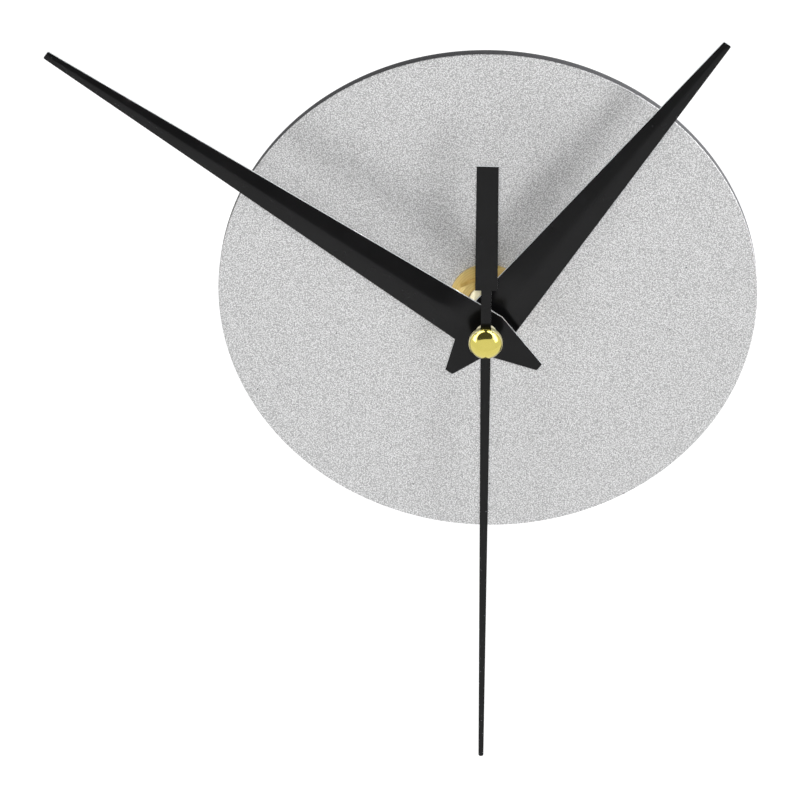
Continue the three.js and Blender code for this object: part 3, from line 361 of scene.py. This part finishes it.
def turned_brass(finish):
    """Plain brass with the lines of its turning round the shaft and a little tarnish."""
    place = finish.place()
    wander = finish.noise(place, 1.6 * MM)
    rings = finish.ripple(finish.radius(place) + wander * (0.12 * MM), 0.55 * MM)
    tarnish = finish.noise(place, 4 * MM, 5.0)
    colour = finish.blend(tarnish + rings * 0.14, (0.62, 0.44, 0.12, 1), (0.90, 0.71, 0.32, 1))
    roughness = 0.36 + tarnish * 0.14 + rings * 0.04
    return finish.shader(colour, roughness, finish.relief(rings, 0.006 * MM), {"Metallic": 0.55})


def pale_brass(finish):
    """Pale plated brass of the bushes and the tube."""
    place = finish.place()
    plating = finish.noise(place, 2.4 * MM, 4.0)
    fine = finish.noise(place, 0.2 * MM)
    colour = finish.blend(plating, (0.95, 0.87, 0.58, 1), (0.99, 0.95, 0.74, 1))
    roughness = 0.30 + plating * 0.10 + fine * 0.06
    return finish.shader(colour, roughness, finish.relief(fine, 0.004 * MM), {"Metallic": 0.3})


def polished_gold(finish):
    """Bright gold plate of the cap, with faint hairlines left by the polishing."""
    place = finish.place()
    cloud = finish.noise(place, 2.2 * MM)
    hair = finish.noise(finish.stretched(place, (9.0, 1.0, 3.0)), 0.9 * MM)
    colour = finish.blend(cloud, (0.60, 0.52, 0.118, 1), (0.67, 0.585, 0.155, 1))
    roughness = 0.05 + hair * 0.05
    return finish.shader(colour, roughness, finish.relief(hair, 0.0006 * MM), {"Metallic": 0.96})


def satin_gold(finish):
    """Satin gold of the cap's band, drawn round it."""
    place = finish.place()
    drawn = finish.noise(finish.stretched(place, (1.0, 14.0, 1.0)), 1.2 * MM)
    colour = finish.blend(drawn, (0.78, 0.71, 0.38, 1), (0.90, 0.84, 0.52, 1))
    roughness = 0.36 + drawn * 0.16
    return finish.shader(colour, roughness, finish.relief(drawn, 0.003 * MM), {"Metallic": 0.45})


def moulded_black(finish):
    """Black moulded plastic of the movement, with the fine spark texture of its mould."""
    place = finish.place()
    spark = finish.noise(place, 0.22 * MM, 4.0)
    flow = finish.noise(place, 14 * MM)
    colour = finish.blend(flow, (0.016, 0.016, 0.017, 1), (0.028, 0.028, 0.030, 1))
    roughness = 0.52 + spark * 0.16 + flow * 0.05
    texture = finish.relief(spark, 0.02 * MM)
    return finish.shader(colour, roughness, texture, {"Specular IOR Level": 0.4})


def white_nylon(finish):
    """Natural white nylon of the wheels and pinions."""
    place = finish.place()
    milk = finish.noise(place, 2.5 * MM)
    skin = finish.noise(place, 0.3 * MM)
    colour = finish.blend(milk, (0.70, 0.68, 0.61, 1), (0.82, 0.80, 0.74, 1))
    roughness = 0.36 + skin * 0.14
    return finish.shader(colour, roughness, finish.relief(skin, 0.008 * MM), {"IOR": 1.53})


def black_rubber(finish):
    """Matt black rubber of the gasket."""
    place = finish.place()
    dust = finish.noise(place, 0.5 * MM, 5.0)
    colour = finish.blend(dust, (0.012, 0.012, 0.012, 1), (0.034, 0.033, 0.032, 1))
    roughness = 0.74 + dust * 0.18
    return finish.shader(colour, roughness, finish.relief(dust, 0.02 * MM), {"IOR": 1.5})


def plain_steel(finish):
    """Drawn and ground steel of the arbor, stator, core and cell ends."""
    place = finish.place()
    drawn = finish.noise(finish.stretched(place, (3.0, 0.4, 3.0)), 0.35 * MM)
    cloud = finish.noise(place, 3 * MM)
    colour = finish.blend(cloud, (0.50, 0.51, 0.52, 1), (0.66, 0.67, 0.68, 1))
    roughness = 0.24 + drawn * 0.16
    return finish.shader(colour, roughness, finish.relief(drawn, 0.004 * MM), {"Metallic": 1.0})


def sintered_magnet(finish):
    """Dark sintered magnet of the rotor."""
    place = finish.place()
    crumb = finish.grain(place, MAGNET_CRUMB * MM)
    colour = finish.blend(crumb, (0.045, 0.045, 0.05, 1), (0.12, 0.12, 0.125, 1))
    roughness = 0.44 + crumb * 0.2
    height = finish.spacing(place, MAGNET_CRUMB * MM)
    return finish.shader(colour, roughness, finish.relief(height, 0.01 * MM), {"Metallic": 0.6})


def copper_winding(finish):
    """Enamelled copper wire wound side by side along the coil."""
    place = finish.place()
    turns = finish.ripple(finish.along(place, "X") + finish.along(place, "Z") * 0.03, 0.12 * MM)
    layer = finish.noise(place, 1.4 * MM)
    colour = finish.blend(turns * 0.25 + layer * 0.75, (0.34, 0.12, 0.04, 1), (0.70, 0.31, 0.12, 1))
    roughness = 0.26 + layer * 0.14
    return finish.shader(colour, roughness, finish.relief(turns, 0.02 * MM), {"Metallic": 0.9})


def green_board(finish):
    """Green resist over the woven board, with the copper showing through a little."""
    place = finish.place()
    warp = finish.ripple(finish.along(place, "X"), BOARD_WEAVE * MM)
    weft = finish.ripple(finish.along(place, "Z"), BOARD_WEAVE * MM)
    weave = warp * weft
    copper = finish.step(finish.noise(place, 3 * MM), 0.5, 0.53)
    colour = finish.blend(copper, (0.010, 0.075, 0.028, 1), (0.030, 0.150, 0.045, 1))
    roughness = 0.34 + weave * 0.05
    return finish.shader(colour, roughness, finish.relief(weave, 0.006 * MM), {"IOR": 1.55})


def potting_resin(finish):
    """Black resin poured over the chip."""
    place = finish.place()
    flow = finish.noise(place, 2 * MM)
    colour = finish.blend(flow, (0.008, 0.008, 0.009, 1), (0.020, 0.020, 0.021, 1))
    roughness = 0.20 + flow * 0.16
    return finish.shader(colour, roughness, finish.relief(flow, 0.05 * MM), {"IOR": 1.55})


def cell_sleeve(finish):
    """Printed sleeve of the cell: slate blue with a pale band at its positive end."""
    place = finish.place()
    ink = finish.noise(place, 0.4 * MM)
    lengthwise = finish.along(place, "X")
    band = finish.step(lengthwise, CELL_BAND * MM, (CELL_BAND + CELL_BAND_FADE) * MM)
    slate = finish.blend(ink, (0.035, 0.075, 0.115, 1), (0.050, 0.100, 0.150, 1))
    pale = finish.blend(ink, (0.52, 0.53, 0.53, 1), (0.62, 0.63, 0.63, 1))
    colour = finish.blend(band, slate, pale)
    roughness = 0.24 + ink * 0.1
    return finish.shader(colour, roughness, finish.relief(ink, 0.006 * MM), {"Metallic": band * 0.3})


def studio_floor(finish):
    """Pale painted floor, evenly lit."""
    place = finish.place()
    patch = finish.noise(place, 0.4)
    colour = finish.blend(patch, (0.12, 0.12, 0.12, 1), (0.14, 0.14, 0.14, 1))
    glow = {"Emission Color": (1, 1, 1, 1), "Emission Strength": FLOOR_GLOW}
    return finish.shader(colour, 0.7 + patch * 0.1, finish.relief(patch, 0.001), glow)


# Making of meshes
def depths(node):
    """A node's back and front, in millimetres from the wall."""
    low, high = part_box(node)
    return -high.y / MM, -low.y / MM


def half_width(node):
    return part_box(node)[1].x / MM


def rounded(corners):
    """Closed outline from corners (x, y, radius), each turned into an arc of its radius."""
    outline = []
    for index, (x, y, radius) in enumerate(corners):
        here = Vector((x, y))
        if not radius:
            outline.append(here)
            continue
        back = (Vector(corners[index - 1][:2]) - here).normalized()
        ahead = (Vector(corners[(index + 1) % len(corners)][:2]) - here).normalized()
        half = back.angle(ahead) / 2
        reach = radius / math.tan(half)
        centre = here + (back + ahead).normalized() * (radius / math.sin(half))
        first = here + back * reach - centre
        last = here + ahead * reach - centre
        start = math.atan2(first.y, first.x)
        swing = math.remainder(math.atan2(last.y, last.x) - start, FULL_TURN)
        for step in range(CORNER_STEPS + 1):
            angle = start + swing * step / CORNER_STEPS
            outline.append(centre + radius * Vector((math.cos(angle), math.sin(angle))))
    return outline


def turned(profile, steps=ROUND_STEPS, shape=None, centre=(0, 0, 0), axis=(0, -1, 0), side=(1, 0, 0)):
    """Mesh of a closed profile (radius, distance along the axis) turned round that axis.

    shape, where given, redraws each point from its radius, its distance and its turn.
    """
    axis = Vector(axis)
    side = Vector(side)
    across = axis.cross(side)
    mesh = bmesh.new()
    rings = []
    for radius, along in profile:
        ring = []
        for step in range(steps if radius else 1):
            turn = FULL_TURN * step / steps
            reach, height = shape(radius, along, turn) if shape else (radius, along)
            spoke = side * math.cos(turn) + across * math.sin(turn)
            ring.append(mesh.verts.new((Vector(centre) + axis * height + spoke * reach) * MM))
        rings.append(ring)
    for ring, following in zip(rings, rings[1:] + rings[:1]):
        for step in range(steps):
            beside = step + 1
            corners = [
                ring[step % len(ring)],
                ring[beside % len(ring)],
                following[beside % len(following)],
                following[step % len(following)],
            ]
            corners = list(dict.fromkeys(corners))
            if len(corners) > 2:
                mesh.faces.new(corners)
    return mesh


def placed(name, data):
    """A new object in the scene."""
    made = bpy.data.objects.new(name, data)
    bpy.context.scene.collection.objects.link(made)
    return made


def dressed(mesh, name, finishes):
    """A new object in the scene from a mesh and its finishes."""
    data = bpy.data.meshes.new(name)
    mesh.to_mesh(data)
    mesh.free()
    for finish in finishes:
        data.materials.append(finish)
    return placed(name, data)


def settle(mesh, name, node, finishes, crease=CREASE):
    """Turns a mesh into a piece that stands for a node of the clock and moves with its body."""
    bmesh.ops.remove_doubles(mesh, verts=mesh.verts, dist=WELD)
    bmesh.ops.dissolve_degenerate(mesh, dist=WELD, edges=mesh.edges)
    bmesh.ops.recalc_face_normals(mesh, faces=mesh.faces)
    for face in mesh.faces:
        face.smooth = True
    for edge in mesh.edges:
        edge.smooth = edge.calc_face_angle(0) < crease
    piece = dressed(mesh, name, finishes)
    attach(piece, frame["nodes"][node]["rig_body"])
    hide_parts(node)
    return piece


# Dial and its fixings
def dial_plate(finish):
    back, front = depths("dial_plate")
    radius = half_width("dial_plate")
    profile = rounded([
        (DIAL_BORE, back, 0),
        (radius, back, DIAL_BREAK),
        (radius, front, DIAL_BREAK),
        (DIAL_BORE, front, 0),
    ])
    return settle(turned(profile, DIAL_STEPS), "dial_sanded", "dial_plate", [finish])


def flat_ring(node, name, ease, finish):
    """Washer or gasket: a flat ring with eased edges."""
    back, front = depths(node)
    radius = half_width(node)
    profile = rounded([
        (FIXING_BORE, back, 0),
        (radius, back, ease),
        (radius, front, ease),
        (FIXING_BORE, front, ease),
    ])
    settle(turned(profile), name, node, [finish])


def hex_nut(finish):
    back, front = depths("hex_nut")
    corner = NUT_FLAT / math.cos(math.pi / NUT_SIDES)

    def six_flats(radius, along, turn):
        """Draws a point in to its flat, and down under the chamfer near a corner."""
        off_flat = math.remainder(turn, FULL_TURN / NUT_SIDES)
        reach = min(radius, NUT_FLAT / math.cos(off_flat))
        drop = max(0, reach - NUT_CHAMFER_RADIUS) * NUT_CHAMFER_SLOPE
        return reach, min(along, front - drop)

    profile = [
        (FIXING_BORE, back + NUT_MOUTH),
        (FIXING_BORE + NUT_MOUTH, back),
        (corner, back),
        (corner, front),
        (NUT_CHAMFER_RADIUS, front),
        (FIXING_BORE + NUT_MOUTH, front),
        (FIXING_BORE, front - NUT_MOUTH),
    ]
    settle(turned(profile, shape=six_flats), "nut_chamfered", "hex_nut", [finish])


def threaded_bush(finish):
    back, front = depths("threaded_bush")
    flange = half_width("threaded_bush")

    def thread(radius, along, turn):
        """Draws the outer rows of the bush into a screw thread that runs out at its front."""
        if radius != BUSH_CREST or along < THREAD_START:
            return radius, along
        phase = (along / THREAD_PITCH + turn / FULL_TURN) % 1
        flank = min(1, max(0, (abs(2 * phase - 1) - THREAD_FLAT) / (1 - 2 * THREAD_FLAT)))
        lead_in = max(0, along - front + THREAD_LEAD_IN)
        return min(BUSH_ROOT + (BUSH_CREST - BUSH_ROOT) * flank, BUSH_CREST - lead_in), along

    row_count = math.ceil((front - THREAD_START) / THREAD_PITCH * THREAD_ROWS_PER_TURN)
    rows = [THREAD_START + (front - THREAD_START) * row / row_count for row in range(row_count + 1)]
    profile = [
        (BUSH_BORE, back),
        (flange, back),
        (flange, BUSH_FLANGE_FRONT),
        (BUSH_CREST, BUSH_FLANGE_FRONT),
        *((BUSH_CREST, along) for along in rows),
        (BUSH_BORE + BUSH_EASE, front),
        (BUSH_BORE, front - BUSH_EASE),
    ]
    mesh = turned(profile, shape=thread)
    settle(mesh, "bush_threaded", "threaded_bush", [finish])


# Hands, drawn with u across the hand and v along it from the shaft
def subdivided(outline, spacing):
    """Outline with its long edges cut into steps of about this spacing."""
    points = []
    for here, ahead in zip(outline, outline[1:] + outline[:1]):
        count = max(1, round((ahead - here).length / spacing))
        points.extend(here.lerp(ahead, step / count) for step in range(count))
    return points


def drawn_in(outline, distance):
    """Outline moved inwards by a distance; it runs anticlockwise."""
    points = []
    for index, here in enumerate(outline):
        before = (here - outline[index - 1]).normalized()
        after = (outline[(index + 1) % len(outline)] - here).normalized()
        inward = Vector((-before.y - after.y, before.x + after.x))
        points.append(here + inward * (distance / (1 + before.dot(after))))
    return points


def pressed_hand(node, name, outline, hole, angle, rise, field, finishes):
    """Hand cut from sheet along an outline and pressed up by rise(u, v), with bare cut edges.

    field holds the points between the edges that carry the pressed form.
    """
    back, front = depths(node)
    along = Vector((math.sin(angle), 0, math.cos(angle)))
    across = Vector((math.cos(angle), 0, -math.sin(angle)))
    outer = subdivided(outline, HAND_ROW)
    inner = drawn_in(outer, HAND_EDGE_BREAK)
    eye = []
    for step in range(HAND_HOLE_STEPS):
        turn = FULL_TURN * step / HAND_HOLE_STEPS
        eye.append(hole * Vector((math.cos(turn), math.sin(turn))))
    count = len(inner)
    edges = [(step, (step + 1) % count) for step in range(count)]
    edges += [(count + step, count + (step + 1) % len(eye)) for step in range(len(eye))]
    kept = [point for point in field if point.length > hole + HAND_HOLE_MARGIN]
    points, _, faces, sources, _, _ = delaunay_2d_cdt(
        inner + eye + kept, edges, [], TRIANGLES_WITH_HOLES, WELD,
    )
    number = {source: index for index, found in enumerate(sources) for source in found}

    mesh = bmesh.new()

    def vertex(point, depth):
        lifted = (across * point.x + along * point.y + Vector((0, -depth - rise(point), 0))) * MM
        return mesh.verts.new(lifted)

    front_sheet = [vertex(point, front) for point in points]
    back_sheet = [vertex(point, back) for point in points]
    front_edge = [vertex(point, front - HAND_EDGE_BREAK) for point in outer]
    back_edge = [vertex(point, back + HAND_EDGE_BREAK) for point in outer]
    for face in faces:
        middle = sum((points[index] for index in face), Vector((0, 0))) / len(face)
        if middle.length > hole:
            mesh.faces.new([front_sheet[index] for index in face])
            mesh.faces.new([back_sheet[index] for index in reversed(face)])

    def strip(first, second, finish):
        for step in range(len(first)):
            beside = (step + 1) % len(first)
            made = mesh.faces.new([first[step], first[beside], second[beside], second[step]])
            made.material_index = finish

    rim_front = [front_sheet[number[step]] for step in range(count)]
    rim_back = [back_sheet[number[step]] for step in range(count)]
    eye_front = [front_sheet[number[count + step]] for step in range(len(eye))]
    eye_back = [back_sheet[number[count + step]] for step in range(len(eye))]
    strip(rim_front, front_edge, 0)
    strip(front_edge, back_edge, 1)
    strip(back_edge, rim_back, 0)
    strip(eye_back, eye_front, 1)
    return settle(mesh, name, node, finishes, HAND_CREASE)


def tapered_hand(node, name, size, finishes):
    """Hour or minute hand: widest just below the shaft, with a soft ridge along its blade."""
    reach = size["reach"]
    tail = -size["tail"]

    def half(v):
        end = reach if v > HAND_SHOULDER else tail
        share = (v - HAND_SHOULDER) / (end - HAND_SHOULDER)
        return size["half"] + (HAND_END_HALF - size["half"]) * share

    def rise(point):
        share = min(1, max(0, (point.y - RIDGE_START) / (RIDGE_FULL - RIDGE_START)))
        fade = share * share * (3 - 2 * share)
        width = half(point.y)
        crown = math.hypot(1, RIDGE_SOFTNESS) - math.hypot(point.x / width, RIDGE_SOFTNESS)
        return RIDGE_SLOPE * fade * width * crown

    outline = rounded([
        (HAND_END_HALF, tail, HAND_END_CORNER),
        (size["half"], HAND_SHOULDER, HAND_CORNER),
        (HAND_END_HALF, reach, HAND_END_CORNER),
        (-HAND_END_HALF, reach, HAND_END_CORNER),
        (-size["half"], HAND_SHOULDER, HAND_CORNER),
        (-HAND_END_HALF, tail, HAND_END_CORNER),
    ])
    row_count = round((reach - tail) / HAND_ROW)
    field = []
    for row in range(1, row_count):
        v = tail + (reach - tail) * row / row_count
        field.extend(Vector((half(v) * column, v)) for column in RIDGE_COLUMNS)
    return pressed_hand(node, name, outline, size["hole"], size["angle"], rise, field, finishes)


def second_hand(finishes):
    """Second hand: a flat needle with a square-cornered counterweight on a narrow neck."""
    spread = math.acos(NEEDLE_HALF / SECOND_HAND_EYE)
    eye = []
    for step in range(EYE_STEPS + 1):
        angle = spread * (2 * step / EYE_STEPS - 1)
        eye.append((SECOND_HAND_EYE * math.cos(angle), SECOND_HAND_EYE * math.sin(angle), 0))
    outline = rounded([
        (NEEDLE_HALF, -COUNTERWEIGHT_START, HAND_CORNER),
        *eye,
        (NEEDLE_TIP_HALF, SECOND_HAND_REACH, NEEDLE_TIP_CORNER),
        (-NEEDLE_TIP_HALF, SECOND_HAND_REACH, NEEDLE_TIP_CORNER),
        *((-u, -v, 0) for u, v, _ in eye),
        (-NEEDLE_HALF, -COUNTERWEIGHT_START, HAND_CORNER),
        (-COUNTERWEIGHT_HALF, -COUNTERWEIGHT_START, HAND_CORNER),
        (-COUNTERWEIGHT_END_HALF, -COUNTERWEIGHT_END, HAND_CORNER),
        (COUNTERWEIGHT_END_HALF, -COUNTERWEIGHT_END, HAND_CORNER),
        (COUNTERWEIGHT_HALF, -COUNTERWEIGHT_START, HAND_CORNER),
    ])
    return pressed_hand(
        "second_hand", "second_hand_cut", outline, SECOND_HAND_HOLE, SECOND_HAND_ANGLE,
        lambda point: 0.0, [], finishes,
    )


def hand_bush(node, name, size, finish):
    """Turned bush that is riveted through a hand and pushes on to its shaft."""
    back, front = depths(node)
    hand_back, hand_front = depths(size["hand"])
    seat_back = hand_back - SEAT_GAP
    seat_front = hand_front + SEAT_GAP
    profile = rounded([
        (size["bore"], back, 0),
        (size["sleeve"], back, BUSH_EASE),
        (size["sleeve"], seat_back, 0),
        (size["neck"], seat_back, 0),
        (size["neck"], seat_front, 0),
        (size["rim"], seat_front, 0),
        (size["rim"], front, BUSH_EASE),
        (size["bore"], front, BUSH_EASE),
    ])
    settle(turned(profile), name, node, [finish])


def second_hand_cap(finishes):
    """Cap of the second hand: a satin band, a groove and a low dome. The band keeps the polished finish
    under the hand's neck, where it shows dark as painted shade of the neck.
    """
    back, front = depths("second_hand_cap")
    band_front = back + CAP_RIM_HEIGHT
    dome_back = band_front + CAP_GROOVE_HEIGHT
    height = front - dome_back
    curve = (CAP_DOME * CAP_DOME + height * height) / (2 * height)
    spread = math.asin(CAP_DOME / curve)
    dome = []
    for step in range(CAP_DOME_STEPS):
        angle = spread * (1 - step / CAP_DOME_STEPS)
        dome.append((curve * math.sin(angle), front - curve * (1 - math.cos(angle)), 0))
    profile = rounded([
        (0, back + CAP_SOCKET_DEPTH, 0),
        (CAP_SOCKET, back + CAP_SOCKET_DEPTH, 0),
        (CAP_SOCKET, back, 0),
        (CAP_RIM, back, BUSH_EASE),
        (CAP_RIM, band_front, BUSH_EASE),
        (CAP_GROOVE, band_front, 0),
        (CAP_GROOVE, dome_back, 0),
        *dome,
        (0, front, 0),
    ])
    mesh = turned(profile)
    # Band faces under the hand's neck stay polished so that they come out dark there: painted shade of
    # the neck. The rest of the band is satin.
    for face in mesh.faces:
        point = face.calc_center_median() / MM
        clear_of_neck_shade = point.z < 0 or abs(point.x) > NEEDLE_HALF
        if -point.y < band_front + DEPTH_MATCH and clear_of_neck_shade:
            face.material_index = 1
    settle(mesh, "cap_polished", "second_hand_cap", finishes)


# Movement
def moulded(node, name, edges, finish):
    """Moulded part in its designed form, with the outer edges at its listed depths eased."""
    source = frame["nodes"][node]

    def at_depth(edge, depth):
        return all(abs(-end.co.y / MM - depth) < DEPTH_MATCH for end in edge.verts)

    mesh = bmesh.new()
    mesh.from_mesh(source.data)
    mesh.transform(source.matrix_world)
    bmesh.ops.remove_doubles(mesh, verts=mesh.verts, dist=WELD)
    bmesh.ops.dissolve_limit(mesh, angle_limit=FLAT_LIMIT, verts=mesh.verts, edges=mesh.edges)
    sharp = []
    for edge in mesh.edges:
        outer = edge.is_manifold and edge.is_convex and edge.calc_face_angle(0) > EASED_ANGLE
        if outer and any(at_depth(edge, depth) for depth in edges["depths"]):
            sharp.append(edge)
    bmesh.ops.bevel(
        mesh, geom=sharp, offset=edges["ease"] * MM, offset_type="OFFSET", segments=EASE_STEPS,
        profile=0.5, affect="EDGES", clamp_overlap=True,
    )
    piece = settle(mesh, name, node, [finish], MOULD_CREASE)
    piece.modifiers.new("even_flats", "WEIGHTED_NORMAL").keep_sharp = True


def battery_cell(finishes):
    """The cell with its shrunk sleeve, crimped shoulders, raised foot and nub."""
    low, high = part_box("battery_cell")
    radius = (high.z - low.z) / MM / 2
    middle = (low + high) / MM / 2
    foot = low.x / MM
    tip = high.x / MM
    shoulder = tip - CELL_NUB_LENGTH
    sleeve_start = foot + CELL_SLEEVE_SET_BACK
    inside = radius - CELL_SLEEVE_TURN_IN
    can_start = sleeve_start + CELL_SLEEVE_SET_BACK
    can_end = shoulder - CELL_SLEEVE_SET_BACK
    profile = rounded([
        (0, foot, 0),
        (CELL_FOOT, foot, CELL_SLEEVE_SET_BACK),
        (CELL_FOOT, can_start, 0),
        (inside, can_start, 0),
        (inside, sleeve_start, 0),
        (radius, sleeve_start, CELL_CRIMP),
        (radius, shoulder, CELL_CRIMP),
        (inside, shoulder, 0),
        (inside, can_end, 0),
        (CELL_NUB, can_end, 0),
        (CELL_NUB, tip, CELL_NUB_EASE),
        (0, tip, 0),
    ])
    centre = (0, middle.y, middle.z)
    mesh = turned(profile, centre=centre, axis=(1, 0, 0), side=(0, 0, 1))
    for face in mesh.faces:
        point = face.calc_center_median() / MM
        off_axis = math.hypot(point.y - middle.y, point.z - middle.z)
        if off_axis < inside:
            face.material_index = 1
    settle(mesh, "cell_sleeved", "battery_cell", finishes)


# Studio
def studio_glow(finish):
    """White walls and bright panels round a dark ceiling's back and sides; a camera sees white."""
    toward = finish.node("ShaderNodeTexCoord", {}, {}, "Generated")
    behind = finish.along(toward, "Y")
    up = finish.along(toward, "Z")
    off_middle = finish.node("ShaderNodeCombineXYZ", {}, {
        "X": (finish.along(toward, "X") - CEILING_MIDDLE[0]) * (1 / CEILING_SPREAD[0]),
        "Y": (behind - CEILING_MIDDLE[1]) * (1 / CEILING_SPREAD[1]),
    })
    spread = finish.node("ShaderNodeVectorMath", {"operation": "LENGTH"}, {0: off_middle}, "Value")
    ceiling = finish.step(up, *CEILING_FOOT) * finish.step(spread, *CEILING_EDGE)
    round_ceiling = finish.step(spread, *PANEL_INSIDE) * finish.step(spread, *PANEL_OUTSIDE)
    round_back = finish.step(behind, *PANEL_FRONT) * finish.step(behind, *PANEL_BACK)
    panels = finish.step(up, *PANEL_FOOT) * round_ceiling * round_back
    mirrored = WALL_GLOW + panels * (PANEL_GLOW - WALL_GLOW)
    mirrored = mirrored + ceiling * (CEILING_GLOW - mirrored)
    soft = SOFT_FRONT + finish.step(behind, *SOFT_SIDE) * (SOFT_BACK - SOFT_FRONT)
    scattered = finish.node("ShaderNodeLightPath", {}, {}, "Is Diffuse Ray")
    glow = mirrored + scattered * (soft - mirrored)
    seen = finish.node("ShaderNodeLightPath", {}, {}, "Is Camera Ray")
    return finish.node("ShaderNodeBackground", {}, {"Strength": glow + (1 - glow) * seen})


def studio_world():
    world = bpy.data.worlds.new("studio")
    world.use_nodes = True
    finish = Finish(world.node_tree)
    finish.node("ShaderNodeOutputWorld", {}, {"Surface": studio_glow(finish)})
    world.cycles.sampling_method = "NONE"
    bpy.context.scene.world = world


def soft_light(name, size, lean=0.0):
    """Soft rectangular light on the clock, its length along a line that leans to the right."""
    place = Vector(size["place"])
    toward = place.normalized()
    across = Vector((math.sin(lean), 0, math.cos(lean))).cross(toward).normalized()
    lamp = bpy.data.lights.new(name, "AREA")
    lamp.shape = "RECTANGLE"
    lamp.size = size["width"]
    lamp.size_y = size["length"]
    lamp.energy = size["power"]
    light = placed(name, lamp)
    turn = Matrix((across, toward.cross(across), toward)).transposed().to_4x4()
    light.matrix_world = Matrix.Translation(place) @ turn
    light.visible_camera = False
    light.visible_glossy = False
    return light


def keep_to(light, name, pieces):
    """Lets a light reach these pieces alone."""
    lit = bpy.data.collections.new(name)
    for piece in pieces:
        lit.objects.link(piece)
    light.light_linking.receiver_collection = lit


def low_gloss(hands):
    """Wide light from below the front that shows only in the hands' lacquer."""
    light = soft_light("low_light", LOW_LIGHT, LOW_LEAN)
    light.visible_glossy = True
    light.visible_diffuse = False
    keep_to(light, "hands", hands)


def floor(finish):
    mesh = bmesh.new()
    rim = []
    for step in range(FLOOR_STEPS):
        turn = FULL_TURN * step / FLOOR_STEPS
        across = FLOOR_RADIUS * math.cos(turn)
        back = FLOOR_BEHIND + FLOOR_RADIUS * math.sin(turn)
        rim.append(mesh.verts.new((across, back, FLOOR_HEIGHT)))
    mesh.faces.new(rim)
    made = dressed(mesh, "floor", [finish])


def camera():
    """Camera at the photograph's angle: a little right of the clock and well above it."""
    right = Vector((math.cos(CAMERA_YAW), math.sin(CAMERA_YAW), 0))
    level = math.cos(CAMERA_PITCH)
    aside = math.sin(CAMERA_YAW) * level
    front = -math.cos(CAMERA_YAW) * level
    backward = Vector((aside, front, math.sin(CAMERA_PITCH)))
    up = backward.cross(right)
    view = bpy.data.cameras.new("camera")
    view.sensor_width = CAMERA_SENSOR
    view.lens = CAMERA_LENS
    view.clip_end = CAMERA_REACH
    made = placed("camera", view)
    turn = Matrix((right, up, backward)).transposed().to_4x4()
    made.matrix_world = Matrix.Translation(CAMERA_PLACE) @ turn
    bpy.context.scene.camera = made


lacquer = material(black_lacquer)
cut_edge = material(bare_cut)
brass = material(turned_brass)
plated = material(pale_brass)
plastic = material(moulded_black)
nylon = material(white_nylon)
steel = material(plain_steel)

dial = dial_plate(material(silver_sand))
flat_ring("rubber_gasket", "gasket_moulded", GASKET_EASE, material(black_rubber))
flat_ring("brass_washer", "washer_turned", WASHER_EASE, brass)
hex_nut(brass)
threaded_bush(plated)
hands = [
    tapered_hand("hour_hand", "hour_hand_pressed", HOUR_HAND, [lacquer, cut_edge]),
    tapered_hand("minute_hand", "minute_hand_pressed", MINUTE_HAND, [lacquer, cut_edge]),
    second_hand([lacquer, cut_edge]),
]
hand_bush("hour_hand_bush", "hour_bush_riveted", HOUR_BUSH, plated)
hand_bush("minute_hand_bush", "minute_bush_riveted", MINUTE_BUSH, plated)
hand_bush("second_hand_tube", "second_tube_riveted", SECOND_TUBE, plated)
second_hand_cap([material(polished_gold), material(satin_gold)])
moulded("movement_case", "case_moulded", CASE_EDGES, plastic)
moulded("rear_cover", "cover_moulded", COVER_EDGES, plastic)
moulded("setting_knob", "knob_moulded", KNOB_EDGES, plastic)
battery_cell([material(cell_sleeve), steel])

NODE_FINISHES = {
    plated: ("hour_tube", "minute_pipe"),
    plastic: ("coil_bobbin",),
    nylon: (
        "middle_plate", "hour_wheel", "second_wheel", "third_wheel", "centre_wheel", "fifth_wheel",
        "rotor_pinion", "transfer_wheel",
    ),
    steel: (
        "second_arbor", "clutch_spring", "stator", "coil_core", "quartz_crystal", "positive_contact",
        "negative_contact",
    ),
    material(sintered_magnet): ("rotor_magnet",),
    material(copper_winding): ("coil_winding",),
    material(green_board): ("circuit_board",),
    material(potting_resin): ("chip_cap",),
}
for finish, nodes in NODE_FINISHES.items():
    for node in nodes:
        slots = frame["nodes"][node].data.materials
        slots.clear()
        slots.append(finish)

studio_world()
floor(material(studio_floor))
soft_light("right_light", RIGHT_LIGHT, RIGHT_LEAN)
soft_light("left_light", LEFT_LIGHT, LEFT_LEAN)
soft_light("front_light", FRONT_LIGHT)
keep_to(soft_light("edge_light", EDGE_LIGHT), "dial", [dial])
low_gloss(hands)
camera()
bpy.context.scene.view_settings.view_transform = "Standard"
